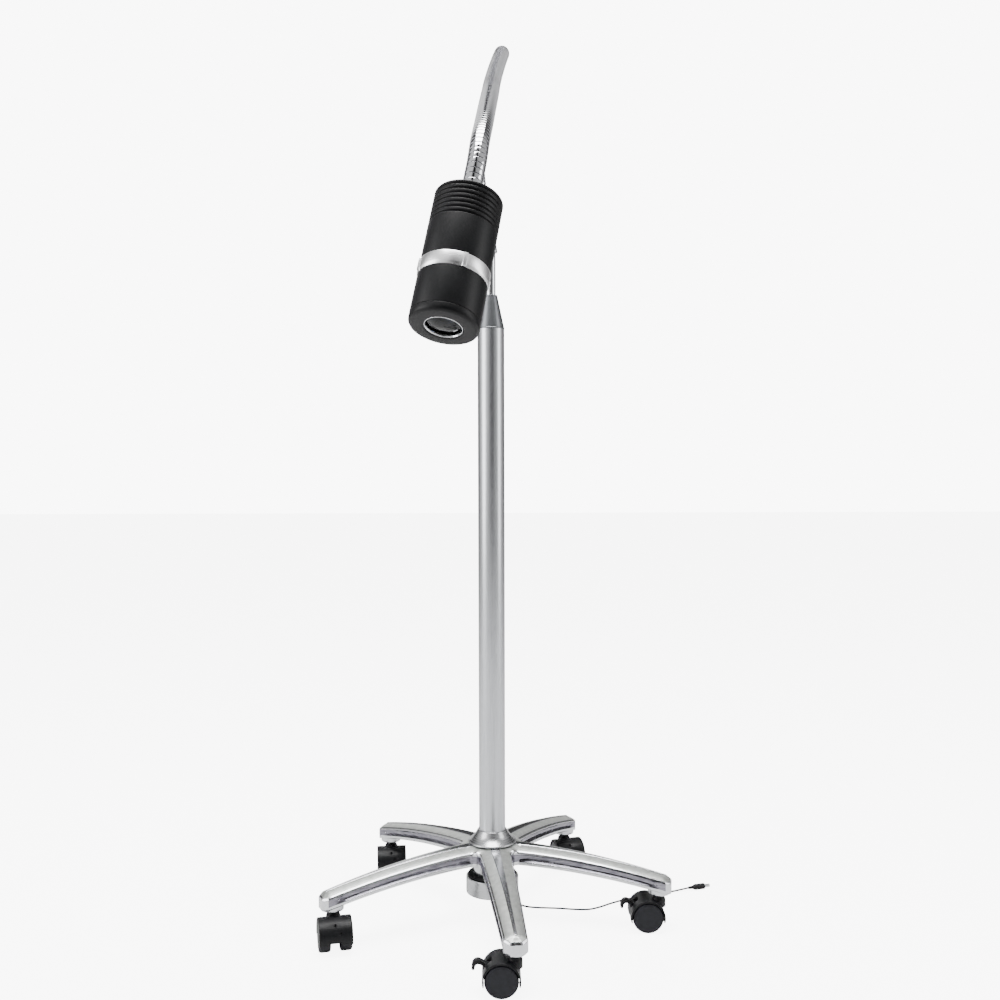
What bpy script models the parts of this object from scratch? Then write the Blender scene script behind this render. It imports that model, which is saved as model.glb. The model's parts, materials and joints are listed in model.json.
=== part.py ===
"""Examination lamp: an LED head on a gooseneck, on a pole with a five-legged castor base.

Metres, +Z up. The origin is on the floor under the pole's axis, and the head reaches out to -Y.
"""

import math

import bmesh
import bpy
import numpy as np
from mathutils import Matrix, Vector

for old in list(bpy.data.objects):
    bpy.data.objects.remove(old, do_unlink=True)

MM = 0.001
GAP = 0.3 * MM  # between pieces that touch or are fixed to each other
RUNNING = 0.5 * MM  # between pieces that turn or slide in each other

# Castors
WHEEL_R = 24 * MM
WHEEL_OUTER = 25 * MM  # from the castor's middle to a wheel's outer face
WEB_HALF = 7 * MM
HOOD_OVER = 3 * MM  # from the tread to the outside of the hood
HOOD_R = WHEEL_R + HOOD_OVER
TRAIL = 18.5 * MM  # from the stem to the axle
AXLE_R = 3 * MM
STEM_R = 4.5 * MM
STEM_FOOT = WHEEL_R + AXLE_R + 3 * MM
STEM_IN_BASE = 20 * MM
COLLAR_R = 7.5 * MM
COLLAR_LOW = WHEEL_R + 16 * MM
STEM_SHOWS = 5 * MM  # from the hood's top to the base
# Where each castor trails, degrees from +X, anticlockwise from the front leg.
CASTOR_TURNS = (180, 180, -74, -84, -76)
BRAKED = (0, 1)
LEVER_AT = math.radians(38)  # where the brake lever's pivot is on the hood, from the trailing side
LEVER_PIVOT_R = HOOD_R - 3.5 * MM
LEVER_HALF = 5.6 * MM

# Base
LEGS = 5
STEM_CIRCLE = 265 * MM  # radius of the circle through the castor stems
BASE_TURN = math.radians(6.6)  # the front leg's angle from -Y towards +X
BOSS_BOTTOM = WHEEL_R + HOOD_R + STEM_SHOWS
LEG_TIP_TOP = BOSS_BOTTOM + 26 * MM
HUB_TOP = LEG_TIP_TOP + 40 * MM
HUB_R = 45 * MM
HUB_DEPTH = 27 * MM
HUB_RIM = 3 * MM  # how far the hub reaches below the legs
LEG_TIP_DEPTH = 24 * MM
LEG_DROP = 0.8 * MM  # how far the legs start below the hub's top
LEG_ROOT_HALF = 26 * MM
LEG_TIP_HALF = 17 * MM
LEG_WALL = 4 * MM
LEG_CHANNEL = 7 * MM  # depth of the channel under a leg
TIP_PAST_STEM = 20 * MM
BOSS_R = 15.5 * MM

# Counterweight and pole
WEIGHT_R = 42 * MM
WEIGHT_HIGH = 27 * MM
WEIGHT_TOP = HUB_TOP - 55 * MM
WEIGHT_BOTTOM = WEIGHT_TOP - WEIGHT_HIGH
PAD_R = 39 * MM
PAD_THICK = 3 * MM
HUB_NECK_R = 30 * MM
BOLT_R = 5 * MM
POLE_R = 21 * MM
POLE_WALL = 1.5 * MM
POLE_TOP = 937 * MM
FLANGE_WIDE = 17 * MM
FLANGE_R = POLE_R + FLANGE_WIDE
FLANGE_HIGH = 20 * MM
ROD_R = 7.5 * MM
CONE_BASE_R = POLE_R + 0.5 * MM
CONE_TOP_R = ROD_R + 2.5 * MM
CONE_HIGH = 52 * MM
PLUG_DEEP = 30 * MM
ROD_OUT = 66 * MM  # length of the rod above the cone

# Gooseneck
NECK_R = 10 * MM
NECK_WALL = 2.2 * MM
NECK_DUCT_R = NECK_R - NECK_WALL
CABLE_DUCT_R = 3 * MM
BALL_R = 7 * MM
STUB_R = 4.6 * MM
FACE_BACK = 3.2 * MM  # from a hinge back to the end face of the section below it
ROD_FACE_BACK = 4.6 * MM
RIM_AHEAD = 1 * MM  # from a hinge forward to the rim of the section above it
NECK_FOOT = Vector((0, 0, POLE_TOP + GAP + CONE_HIGH + ROD_OUT + ROD_FACE_BACK))
SECTIONS = 5
FERRULE_R = NECK_R + 0.4 * MM
FERRULE_LONG = 20 * MM
SPIGOT_R = 6 * MM  # of the ferrule, in the head's rear wall

# Head: lengths along its axis, from the rear face to the front
HEAD_REAR = NECK_FOOT + Vector((-0.0215, -0.674, -0.0699))
HEAD_AXIS = Vector((-0.165, -0.391, -0.905)).normalized()
HEAD_R = 34 * MM
HEAD_LONG = 143 * MM
HEAD_WALL = 3.5 * MM
HOUSING_LONG = 79.4 * MM
RING_LONG = 14.4 * MM
RING_PROUD = 2 * MM
RIDGE_HALF = 1.6 * MM
GROOVES = 7
GROOVE_FIRST = 5 * MM
GROOVE_PITCH = 5.2 * MM
GROOVE_WIDE = 2.2 * MM
GROOVE_DEEP = 1.6 * MM
SLEEVE_R = HEAD_R - 3.6 * MM
SLEEVE_WALL = 2.4 * MM
SLEEVE_PAST_RING = 8 * MM
BEZEL_LONG = 8.4 * MM
BEZEL_ROUND = 4 * MM
LENS_R = 17.2 * MM
LENS_RING_R = 18.6 * MM
LENS_SEAT_DEEP = 9 * MM
BUTTON_R = 5.5 * MM
BUTTON_AT = 20.5 * MM
BUTTON_PLACE = Vector((0, -BUTTON_AT, 0))
RING_START = HOUSING_LONG + GAP
SLEEVE_END = RING_START + RING_LONG + SLEEVE_PAST_RING
RIDGE_TURN = math.radians(70)  # the first grip ridge on the focus ring

# Cord
CORD_D = 3 * MM
CLEAR_OF_FLOOR = 0.1 * MM
FLOOR_Z = CORD_D / 2 + CLEAR_OF_FLOOR  # height of the cord's middle where it lies on the floor
GLAND_AT = Vector((0.028, 0.018, WEIGHT_BOTTOM))
GLAND_R = 5 * MM
GLAND_LONG = 12 * MM
COIL_AT = Vector((0.004, 0.103, 0.0))
COIL_MEAN_R = 16.5 * MM
COIL_HALF_WIDE = 9 * MM
COIL_HIGH = 6.4 * MM
PLUG_R = 5 * MM
PLUG_LONG = 30 * MM
PLUG_TIP_LONG = 9.5 * MM


# ---- materials ----

def material(name, colour, roughness, metallic):
    made = bpy.data.materials.new(name)
    made.use_nodes = True
    shader = made.node_tree.nodes["Principled BSDF"]
    shader.inputs["Base Color"].default_value = (*colour, 1)
    shader.inputs["Roughness"].default_value = roughness
    shader.inputs["Metallic"].default_value = metallic
    return made


POLISHED = ("cast_aluminium", (0.72, 0.72, 0.73), 0.3, 1.0)
SATIN = ("satin_tube", (0.66, 0.67, 0.68), 0.35, 1.0)
GREY_METAL = ("grey_anodised", (0.3, 0.31, 0.32), 0.4, 1.0)
CHROME = ("chrome_plate", (0.8, 0.8, 0.82), 0.12, 1.0)
STEEL = ("plain_steel", (0.5, 0.5, 0.5), 0.35, 1.0)
BLACK_METAL = ("black_anodised", (0.02, 0.02, 0.022), 0.45, 0.3)
RING_METAL = ("turned_aluminium", (0.8, 0.8, 0.8), 0.3, 1.0)
NYLON = ("charcoal_nylon", (0.03, 0.03, 0.032), 0.5, 0.0)
GLASS = ("clear_glass", (0.75, 0.8, 0.85), 0.05, 0.0)
BOARD = ("green_board", (0.02, 0.18, 0.07), 0.5, 0.0)
PHOSPHOR = ("yellow_phosphor", (0.9, 0.75, 0.2), 0.5, 0.0)
CORD_SKIN = ("black_pvc", (0.02, 0.02, 0.02), 0.5, 0.0)


# ---- making solids ----

def put(name, mesh, look, place=None, parent=None):
    """Make an object of a mesh, with a material of its own."""
    made = bpy.data.objects.new(name, mesh)
    bpy.context.scene.collection.objects.link(made)
    kind, colour, roughness, metallic = look
    mesh.materials.append(material(f"{name}_{kind}", colour, roughness, metallic))
    if place is not None:
        made.matrix_world = place
    if parent is not None:
        made.parent = parent
    mesh.shade_smooth()
    mesh.set_sharp_from_angle(angle=math.radians(35))
    return made


def tool(mesh, place=None, parent=None):
    """Make an object that only cuts or joins."""
    made = bpy.data.objects.new("tool", mesh)
    bpy.context.scene.collection.objects.link(made)
    made.hide_render = True
    made.display_type = "WIRE"
    if place is not None:
        made.matrix_world = place
    if parent is not None:
        made.parent = parent
    return made


def boolean(target, operand, operation):
    step = target.modifiers.new(operation.lower(), "BOOLEAN")
    step.operation = operation
    step.solver = "EXACT"
    step.object = operand


def mesh_of(build, name="solid"):
    """Turn a finished bmesh into a mesh whose faces point out."""
    bmesh.ops.recalc_face_normals(build, faces=build.faces)
    made = bpy.data.meshes.new(name)
    build.to_mesh(made)
    build.free()
    return made


def skin(rings, closed=False):
    """Join rings of points into one solid; a ring of one point closes to a tip."""
    build = bmesh.new()
    rows = [[build.verts.new(p) for p in ring] for ring in rings]
    pairs = list(zip(rows, rows[1:]))
    if closed:
        pairs.append((rows[-1], rows[0]))
    for low, high in pairs:
        for i in range(max(len(low), len(high))):
            corners = [low[i % len(low)], low[(i + 1) % len(low)]]
            corners += [high[(i + 1) % len(high)], high[i % len(high)]]
            build.faces.new(list(dict.fromkeys(corners)))
    if not closed:
        for row in (rows[0], rows[-1]):
            if len(row) > 2:
                build.faces.new(row)
    return mesh_of(build)


def circle(radius, height, sides, start=0.0):
    if radius == 0:
        return [Vector((0, 0, height))]
    turns = [start + math.tau * i / sides for i in range(sides)]
    return [Vector((radius * math.cos(t), radius * math.sin(t), height)) for t in turns]


def turned(profile, sides=24, closed=False, start=0.0):
    """A solid turned about Z from (radius, height) points; closed makes a ring or a tube."""
    return skin([circle(r, z, sides, start) for r, z in profile], closed)


def box(low, high):
    (x0, y0, z0), (x1, y1, z1) = low, high
    rows = [[(x0, y0, z), (x1, y0, z), (x1, y1, z), (x0, y1, z)] for z in (z0, z1)]
    return skin([[Vector(p) for p in row] for row in rows])


def extruded(outline, y0, y1):
    """A solid of an outline in X and Z, from y0 to y1."""
    return skin([[Vector((x, y, z)) for x, z in outline] for y in (y0, y1)])


def arc(radius, first, last, steps):
    """Points along an arc about the origin, angles in degrees."""
    turns = np.radians(np.linspace(first, last, steps + 1))
    return [(radius * math.cos(t), radius * math.sin(t)) for t in turns]


def facing(origin, z_axis, x_hint=Vector((1, 0, 0))):
    """The place with that origin whose local Z points along z_axis."""
    z = z_axis.normalized()
    y = z.cross(x_hint).normalized()
    x = y.cross(z)
    turn = Matrix((x, y, z)).transposed()
    return Matrix.Translation(origin) @ turn.to_4x4()


def empty(name, place):
    made = bpy.data.objects.new(name, None)
    bpy.context.scene.collection.objects.link(made)
    made.matrix_world = place
    return made


def smooth_route(points, per_span=12):
    """A smooth curve through points, by Catmull-Rom spans."""
    ends = [2 * points[0] - points[1], *points, 2 * points[-1] - points[-2]]
    out = []
    for a, b, c, d in zip(ends, ends[1:], ends[2:], ends[3:]):
        for k in range(per_span):
            t = k / per_span
            out.append(
                0.5 * (2 * b + (c - a) * t + (2 * a - 5 * b + 4 * c - d) * t**2
                       + (3 * b - a - 3 * c + d) * t**3)
            )
    return [*out, points[-1].copy()]


class Line:
    """A curve that can be read at any distance along it, and straight on past its ends."""

    def __init__(self, points):
        self.points = points
        steps = [(b - a).length for a, b in zip(points, points[1:])]
        self.along = [0.0]
        for step in steps:
            self.along.append(self.along[-1] + step)
        self.long = self.along[-1]

    def direction(self, s, reach=2 * MM):
        low = max(0.0, min(s, self.long) - reach)
        high = min(self.long, max(s, 0.0) + reach)
        return (self.at(high) - self.at(low)).normalized()

    def at(self, s):
        inside = min(max(s, 0.0), self.long)
        k = min(int(np.searchsorted(self.along, inside, side="right")) - 1, len(self.points) - 2)
        share = (inside - self.along[k]) / (self.along[k + 1] - self.along[k])
        point = self.points[k].lerp(self.points[k + 1], share)
        if inside != s:
            point = point + (s - inside) * self.direction(inside)
        return point


# ---- base ----

def leg_top(r):
    """Height of a leg's ridge at a distance from the pole's axis."""
    tip = STEM_CIRCLE + TIP_PAST_STEM
    root = HUB_TOP - LEG_DROP
    return root - (root - LEG_TIP_TOP) * (r / tip) ** 1.9


def leg_section(r):
    """A leg's outline across its length: a crowned top, flared sides and a channel underneath."""
    tip = STEM_CIRCLE + TIP_PAST_STEM
    share = r / tip
    top = leg_top(r)
    deep = HUB_DEPTH + (LEG_TIP_DEPTH - HUB_DEPTH) * share
    half = LEG_TIP_HALF + (LEG_ROOT_HALF - LEG_TIP_HALF) * (1 - share)
    fade = min(1.0, max(0.1, min(share - 0.14, 0.84 - share) / 0.12))
    channel = LEG_CHANNEL * fade
    shoulder = half * 0.66
    inner = half - LEG_WALL
    side = [
        (half, top - deep),
        (half, top - 0.55 * deep),
        (shoulder, top - 0.12 * deep),
        (half * 0.2, top),
    ]
    under = [(-inner, top - deep), (-inner * 0.8, top - deep + channel)]
    under += [(inner * 0.8, top - deep + channel), (inner, top - deep)]
    outline = side + [(-t, z) for t, z in reversed(side)] + under
    return [Vector((r, t, z)) for t, z in outline]


def base_star():
    tip = STEM_CIRCLE + TIP_PAST_STEM
    stops = [0.1, 0.14, 0.26, 0.4, 0.55, 0.7, 0.84, 0.93, 1.0]
    leg = skin([leg_section(tip * share) for share in stops])
    hub_low = HUB_TOP - HUB_DEPTH - HUB_RIM
    neck_low = WEIGHT_TOP + PAD_THICK + 2 * GAP
    hub = turned(
        [(0, neck_low), (HUB_NECK_R, neck_low), (HUB_NECK_R, hub_low), (HUB_R - 6 * MM, hub_low),
         (HUB_R, hub_low + 6 * MM), (HUB_R + 2 * MM, HUB_TOP - 5 * MM), (HUB_R - 3 * MM, HUB_TOP),
         (0, HUB_TOP)],
        24,
    )
    star = put("base_star", hub, POLISHED)
    turns = [Matrix.Rotation(BASE_TURN - math.pi / 2 + math.tau * k / LEGS, 4, "Z") for k in range(LEGS)]
    to_stem = Matrix.Translation((STEM_CIRCLE, 0, 0))
    boss_top = leg_top(STEM_CIRCLE) - 0.6 * LEG_TIP_DEPTH
    boss_outline = [(0, BOSS_BOTTOM), (BOSS_R - 1 * MM, BOSS_BOTTOM), (BOSS_R, BOSS_BOTTOM + 1 * MM),
                    (BOSS_R, boss_top), (0, boss_top)]
    bore_r = STEM_R + GAP
    bore_top = BOSS_BOTTOM + STEM_IN_BASE
    for turn in turns:
        boolean(star, tool(leg.copy(), turn), "UNION")
    for turn in turns:
        boolean(star, tool(turned(boss_outline, 18), turn @ to_stem), "UNION")
    for turn in turns:
        # The bore's corners keep off the boss's own, so that the cut meets no corner.
        bore = turned([(0, 0), (bore_r, 0), (bore_r, bore_top), (0, bore_top)], 12, start=math.radians(7))
        boolean(star, tool(bore, turn @ to_stem), "DIFFERENCE")
    hole = turned([(0, 0), (BOLT_R + GAP, 0), (BOLT_R + GAP, 0.2), (0, 0.2)], 12, start=math.radians(7))
    boolean(star, tool(hole), "DIFFERENCE")


# ---- castors ----

def hood_mesh():
    """The hood's shell over the treads, without its web."""
    outer = arc(HOOD_R, -14, 194, 12)
    inner = arc(WHEEL_R + 1.2 * MM, 194, -14, 12)
    return extruded(outer + inner, -WHEEL_OUTER, WHEEL_OUTER)


def web_mesh():
    """The web between the wheels: it holds the axle and the stem."""
    outline = arc(HOOD_R - 0.8 * MM, -8, 188, 12)
    outline += [(-12 * MM, -9 * MM), (12 * MM, -9 * MM)]
    return extruded(outline, -WEB_HALF, WEB_HALF)


def lever_mesh():
    """The brake lever: a finger pad that hooks down outside the hood, on a barrel across it."""
    outline = [(3.4, -2.6), (-0.6, -3.2), (-3.2, -1.2), (-3.2, 1.6), (-0.8, 3.2),
               (3.4, 3.8), (8.0, 6.4), (12.8, 7.4), (17.6, 5.0), (20.8, 0.4), (22.0, -5.0), (21.8, -9.0),
               (20.2, -9.0), (19.0, -4.6), (16.4, -0.8), (12.6, 0.8), (8.0, 0.0)]
    return extruded([(x * MM, z * MM) for x, z in outline], -LEVER_HALF, LEVER_HALF)


def wheel_mesh():
    """One wheel about its own axle, its outer face towards +Z."""
    face = WHEEL_OUTER - WEB_HALF - RUNNING
    bore = AXLE_R + RUNNING
    blind = face - 5 * MM
    profile = [
        (0, blind), (bore, blind), (bore, 0), (8 * MM, 0), (8 * MM, blind - 3 * MM),
        (WHEEL_R - 5 * MM, blind - 3 * MM), (WHEEL_R - 5 * MM, 0), (WHEEL_R - 1.5 * MM, 0), (WHEEL_R, 2 * MM),
        (WHEEL_R, face - 4 * MM), (WHEEL_R - 3 * MM, face), (0, face),
    ]
    return turned(profile, 18, start=math.radians(90))


def castor(k):
    name = f"castor_{k + 1}"
    leg_turn = BASE_TURN - math.pi / 2 + math.tau * k / LEGS
    at = Vector((STEM_CIRCLE * math.cos(leg_turn), STEM_CIRCLE * math.sin(leg_turn), 0))
    turn = math.radians(CASTOR_TURNS[k])
    stem_place = Matrix.Translation(at) @ Matrix.Rotation(turn, 4, "Z")
    pivot = empty(f"{name}_pivot", stem_place)
    axle_at = Vector((TRAIL, 0, WHEEL_R))  # the axle trails towards the pivot's own +X
    across = Matrix.Rotation(math.pi / 2, 4, "X")

    hood = put(f"{name}_hood", hood_mesh(), NYLON, Matrix.Translation(axle_at), pivot)
    web = tool(web_mesh(), Matrix.Translation(axle_at), pivot)
    boolean(hood, web, "UNION")
    collar_top = BOSS_BOTTOM - RUNNING
    collar_outline = [(0, COLLAR_LOW), (COLLAR_R, COLLAR_LOW), (COLLAR_R, collar_top), (0, collar_top)]
    collar_mesh = turned(collar_outline, 16)
    collar = tool(collar_mesh, None, pivot)
    boolean(hood, collar, "UNION")
    bore = tool(turned([(0, STEM_FOOT - RUNNING), (STEM_R + RUNNING, STEM_FOOT - RUNNING),
                        (STEM_R + RUNNING, 0.08), (0, 0.08)], 12), None, pivot)
    boolean(hood, bore, "DIFFERENCE")
    axle_hole = tool(turned([(0, -0.01), (AXLE_R + GAP, -0.01), (AXLE_R + GAP, 0.01), (0, 0.01)], 14),
                     Matrix.Translation(axle_at) @ across, pivot)
    boolean(hood, axle_hole, "DIFFERENCE")

    stem = [(0, STEM_FOOT), (STEM_R, STEM_FOOT), (STEM_R, BOSS_BOTTOM + STEM_IN_BASE - GAP),
            (0, BOSS_BOTTOM + STEM_IN_BASE - GAP)]
    put(f"{name}_stem", turned(stem, 12), STEEL, None, pivot)

    half = WHEEL_OUTER - 5 * MM - 2 * RUNNING
    axle = turned([(0, -half), (AXLE_R, -half), (AXLE_R, half), (0, half)], 14)
    put(f"{name}_axle", axle, STEEL, Matrix.Translation(axle_at) @ across, pivot)
    for side, way in (("left", 1), ("right", -1)):
        out = Matrix.Rotation(-way * math.pi / 2, 4, "X")
        place = Matrix.Translation(axle_at + Vector((0, way * (WEB_HALF + RUNNING), 0))) @ out
        put(f"{name}_wheel_{side}", wheel_mesh(), NYLON, place, pivot)

    if k in BRAKED:
        lever_at = axle_at + LEVER_PIVOT_R * Vector((math.cos(LEVER_AT), 0, math.sin(LEVER_AT)))
        put(f"{name}_brake_lever", lever_mesh(), NYLON, Matrix.Translation(lever_at), pivot)
        slot = box((-5 * MM, -LEVER_HALF - RUNNING, -5 * MM), (16 * MM, LEVER_HALF + RUNNING, 12 * MM))
        boolean(hood, tool(slot, Matrix.Translation(lever_at), pivot), "DIFFERENCE")


# ---- counterweight and pole ----

def counterweight():
    bottom, top, bore = WEIGHT_BOTTOM, WEIGHT_TOP, BOLT_R + GAP
    head_r = 9 * MM
    head_deep = 8 * MM
    profile = [
        (head_r + GAP, bottom), (WEIGHT_R - 2 * MM, bottom), (WEIGHT_R, bottom + 2 * MM),
        (WEIGHT_R, top - 2 * MM), (WEIGHT_R - 2 * MM, top), (bore, top),
        (bore, bottom + head_deep), (head_r + GAP, bottom + head_deep),
    ]
    weight = put("counterweight", turned(profile, 32, closed=True), POLISHED)
    gland_bore = turned([(0, -1 * MM), (GLAND_R + GAP, -1 * MM), (GLAND_R + GAP, GLAND_LONG + GAP),
                         (0, GLAND_LONG + GAP)], 16)
    boolean(weight, tool(gland_bore, Matrix.Translation(GLAND_AT)), "DIFFERENCE")

    bolt = [
        (0, bottom + 0.5 * MM), (head_r, bottom + 0.5 * MM), (head_r, bottom + head_deep - GAP),
        (BOLT_R, bottom + head_deep - GAP), (BOLT_R, HUB_TOP + 25 * MM), (0, HUB_TOP + 25 * MM),
    ]
    put("tie_bolt", turned(bolt, 18), STEEL)

    low = top + GAP
    pad = [(bore, low), (PAD_R, low), (PAD_R, low + PAD_THICK), (bore, low + PAD_THICK)]
    put("weight_pad", turned(pad, 24, closed=True), CORD_SKIN)


def pole():
    bore = POLE_R - POLE_WALL
    foot = HUB_TOP + GAP
    wall = [(bore, foot), (POLE_R, foot), (POLE_R, POLE_TOP), (bore, POLE_TOP)]
    put("pole_tube", turned(wall, 32, closed=True), SATIN)

    plug_r = bore - GAP
    bolt_bore = BOLT_R + GAP
    plug = [(bolt_bore, foot), (plug_r, foot), (plug_r, foot + 35 * MM), (bolt_bore, foot + 35 * MM)]
    put("pole_foot_plug", turned(plug, 24, closed=True), STEEL)

    hug = POLE_R + GAP
    flange = [
        (hug, foot), (FLANGE_R - 1.2 * MM, foot), (FLANGE_R, foot + 1.2 * MM),
        (FLANGE_R - 1 * MM, foot + 4 * MM),
        (hug + 9 * MM, foot + 8 * MM), (hug + 4 * MM, foot + 13 * MM),
        (hug + 1.6 * MM, foot + FLANGE_HIGH - 0.6 * MM), (hug, foot + FLANGE_HIGH),
    ]
    put("pole_flange", turned(flange, 32, closed=True), POLISHED)

    base = POLE_TOP + GAP
    rod_bore = ROD_R + GAP
    cone = [
        (rod_bore, base - PLUG_DEEP), (plug_r, base - PLUG_DEEP), (plug_r, base), (CONE_BASE_R, base),
        (CONE_BASE_R, base + 0.8 * MM), (CONE_TOP_R, base + CONE_HIGH), (rod_bore, base + CONE_HIGH),
    ]
    put("pole_top_cone", turned(cone, 32, closed=True), GREY_METAL)


# ---- gooseneck ----

NECK_ROUTE = [
    NECK_FOOT,
    NECK_FOOT + Vector((-0.0055, -0.004, 0.0301)),
    NECK_FOOT + Vector((-0.0125, -0.013, 0.0701)),
    NECK_FOOT + Vector((-0.0185, -0.031, 0.1151)),
    NECK_FOOT + Vector((-0.0140, -0.060, 0.1601)),
    NECK_FOOT + Vector((-0.0035, -0.100, 0.1951)),
    NECK_FOOT + Vector((0.0060, -0.150, 0.2171)),
    NECK_FOOT + Vector((0.0125, -0.205, 0.2221)),
    NECK_FOOT + Vector((0.0150, -0.270, 0.2071)),
    NECK_FOOT + Vector((0.0110, -0.335, 0.1771)),
    NECK_FOOT + Vector((0.0055, -0.400, 0.1411)),
    NECK_FOOT + Vector((0.0017, -0.457, 0.1101)),
    NECK_FOOT + Vector((-0.0005, -0.510, 0.0831)),
    NECK_FOOT + Vector((-0.0038, -0.560, 0.0531)),
    NECK_FOOT + Vector((-0.0072, -0.605, 0.0231)),
    NECK_FOOT + Vector((-0.0110, -0.640, -0.0049)),
    HEAD_REAR - HEAD_AXIS * (FERRULE_LONG + 24 * MM),
    HEAD_REAR - HEAD_AXIS * FERRULE_LONG,
]
NECK = Line(smooth_route(NECK_ROUTE))


def ball_end(face_back):
    """(distance past the hinge, radius) from the end face over the ball to its bored tip."""
    tip = math.sqrt(BALL_R**2 - CABLE_DUCT_R**2)
    root = math.sqrt(BALL_R**2 - STUB_R**2)
    return [(-face_back, STUB_R), (-root, STUB_R), (-0.35 * BALL_R, 0.935 * BALL_R),
            (0.35 * BALL_R, 0.935 * BALL_R), (0.75 * BALL_R, 0.66 * BALL_R), (tip, CABLE_DUCT_R)]


def socket_end():
    """(distance past the hinge, radius) from the bored floor of the socket out to its rim."""
    hollow = BALL_R + RUNNING
    floor = math.sqrt(hollow**2 - CABLE_DUCT_R**2) + 1 * MM
    return [(floor, CABLE_DUCT_R), (0.78 * hollow, 0.72 * hollow), (0.4 * hollow, hollow),
            (RIM_AHEAD, hollow * 1.04)]


def neck_section(k):
    """One section of the gooseneck: a socket at its lower hinge, a ball at its upper one."""
    start = NECK.long * k / SECTIONS
    end = NECK.long * (k + 1) / SECTIONS
    stops = [float(s) for s in np.linspace(start + 12 * MM, end - 8 * MM, 8)]
    profile = [(start + s, r) for s, r in socket_end()]
    profile += [(start + RIM_AHEAD, NECK_R)]
    profile += [(s, NECK_R) for s in stops]
    profile += [(end - FACE_BACK, NECK_R)]
    profile += [(end + s, r) for s, r in ball_end(FACE_BACK)]
    profile += [(end - 10 * MM, CABLE_DUCT_R), (end - 14 * MM, NECK_DUCT_R)]
    profile += [(s, NECK_DUCT_R) for s in stops[-3:1:-2]]
    profile += [(start + 14 * MM, CABLE_DUCT_R)]

    straight = Vector((1, 0, 0))
    origin = NECK.at(start)
    rings = []
    for s, r in profile:
        # Near a hinge the section is straight, so that the ball is round.
        pinned = float(start if s < start + 9.5 * MM else end if s > end - 6 * MM else s)
        centre = NECK.at(pinned) + NECK.direction(pinned) * float(s - pinned)
        place = facing(centre - origin, NECK.direction(pinned), straight)
        rings.append([place @ p for p in circle(r, 0, 12)])
    put(f"neck_section_{k + 1}", skin(rings, closed=True), CHROME, Matrix.Translation(origin))


def neck_ends():
    low = POLE_TOP + GAP - PLUG_DEEP + 4 * MM
    flat = NECK_FOOT.z - ROD_FACE_BACK
    rod = [(CABLE_DUCT_R, low), (ROD_R, low), (ROD_R, flat)]
    rod += [(r, NECK_FOOT.z + s) for s, r in ball_end(ROD_FACE_BACK)]
    put("neck_rod", turned(rod, 20, closed=True), CHROME)

    # The ferrule's own frame is the head's, so its lengths run back from the head's rear face.
    hinge = -FERRULE_LONG
    profile = [(r, hinge + s) for s, r in socket_end()]
    profile += [(FERRULE_R, hinge + RIM_AHEAD), (FERRULE_R, -GAP), (SPIGOT_R, -GAP)]
    profile += [(SPIGOT_R, HEAD_WALL + 4 * MM), (CABLE_DUCT_R, HEAD_WALL + 4 * MM)]
    put("head_ferrule", turned(profile, 20, closed=True), CHROME, HEAD_PLACE)


# ---- head ----

HEAD_PLACE = facing(HEAD_REAR, HEAD_AXIS)


def head_housing():
    inner = HEAD_R - HEAD_WALL
    rear_wall = HEAD_WALL + 1.5 * MM
    bore = SPIGOT_R + GAP
    outer = [(bore, 0), (HEAD_R - 3 * MM, 0), (HEAD_R - 0.8 * MM, 1 * MM), (HEAD_R, 3 * MM)]
    for g in range(GROOVES):
        at = GROOVE_FIRST + g * GROOVE_PITCH
        floor = HEAD_R - GROOVE_DEEP
        outer += [(HEAD_R, at - GROOVE_WIDE / 2), (floor, at), (HEAD_R, at + GROOVE_WIDE / 2)]
    sleeve_in = SLEEVE_R - SLEEVE_WALL
    outer += [(HEAD_R, HOUSING_LONG), (SLEEVE_R, HOUSING_LONG), (SLEEVE_R, SLEEVE_END)]
    outer += [(sleeve_in, SLEEVE_END), (sleeve_in, HOUSING_LONG - 6 * MM)]
    outer += [(inner, HOUSING_LONG - 8 * MM), (inner, rear_wall), (bore, rear_wall)]
    housing = put("head_housing", turned(outer, 22, closed=True), BLACK_METAL, HEAD_PLACE)

    hole_r = BUTTON_R + RUNNING
    past = 2 * MM
    hole = turned([(0, -past), (hole_r, -past), (hole_r, rear_wall + past), (0, rear_wall + past)], 18)
    boolean(housing, tool(hole, HEAD_PLACE @ Matrix.Translation(BUTTON_PLACE)), "DIFFERENCE")

    top = -2.2 * MM
    flange_r = BUTTON_R + 1.5 * MM
    under = rear_wall + 1.6 * MM  # room for the button's own travel before its flange reaches the board
    button = [(0, top), (BUTTON_R - 0.8 * MM, top), (BUTTON_R, top + 0.8 * MM), (BUTTON_R, rear_wall + GAP),
              (flange_r, rear_wall + GAP), (flange_r, under), (0, under)]
    put("power_button", turned(button, 18), RING_METAL, HEAD_PLACE @ Matrix.Translation(BUTTON_PLACE))


def disc(radius, low, high, sides=24, bore=0.0):
    if bore:
        return turned([(bore, low), (radius, low), (radius, high), (bore, high)], sides, closed=True)
    return turned([(0, low), (radius, low), (radius, high), (0, high)], sides)


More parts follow.
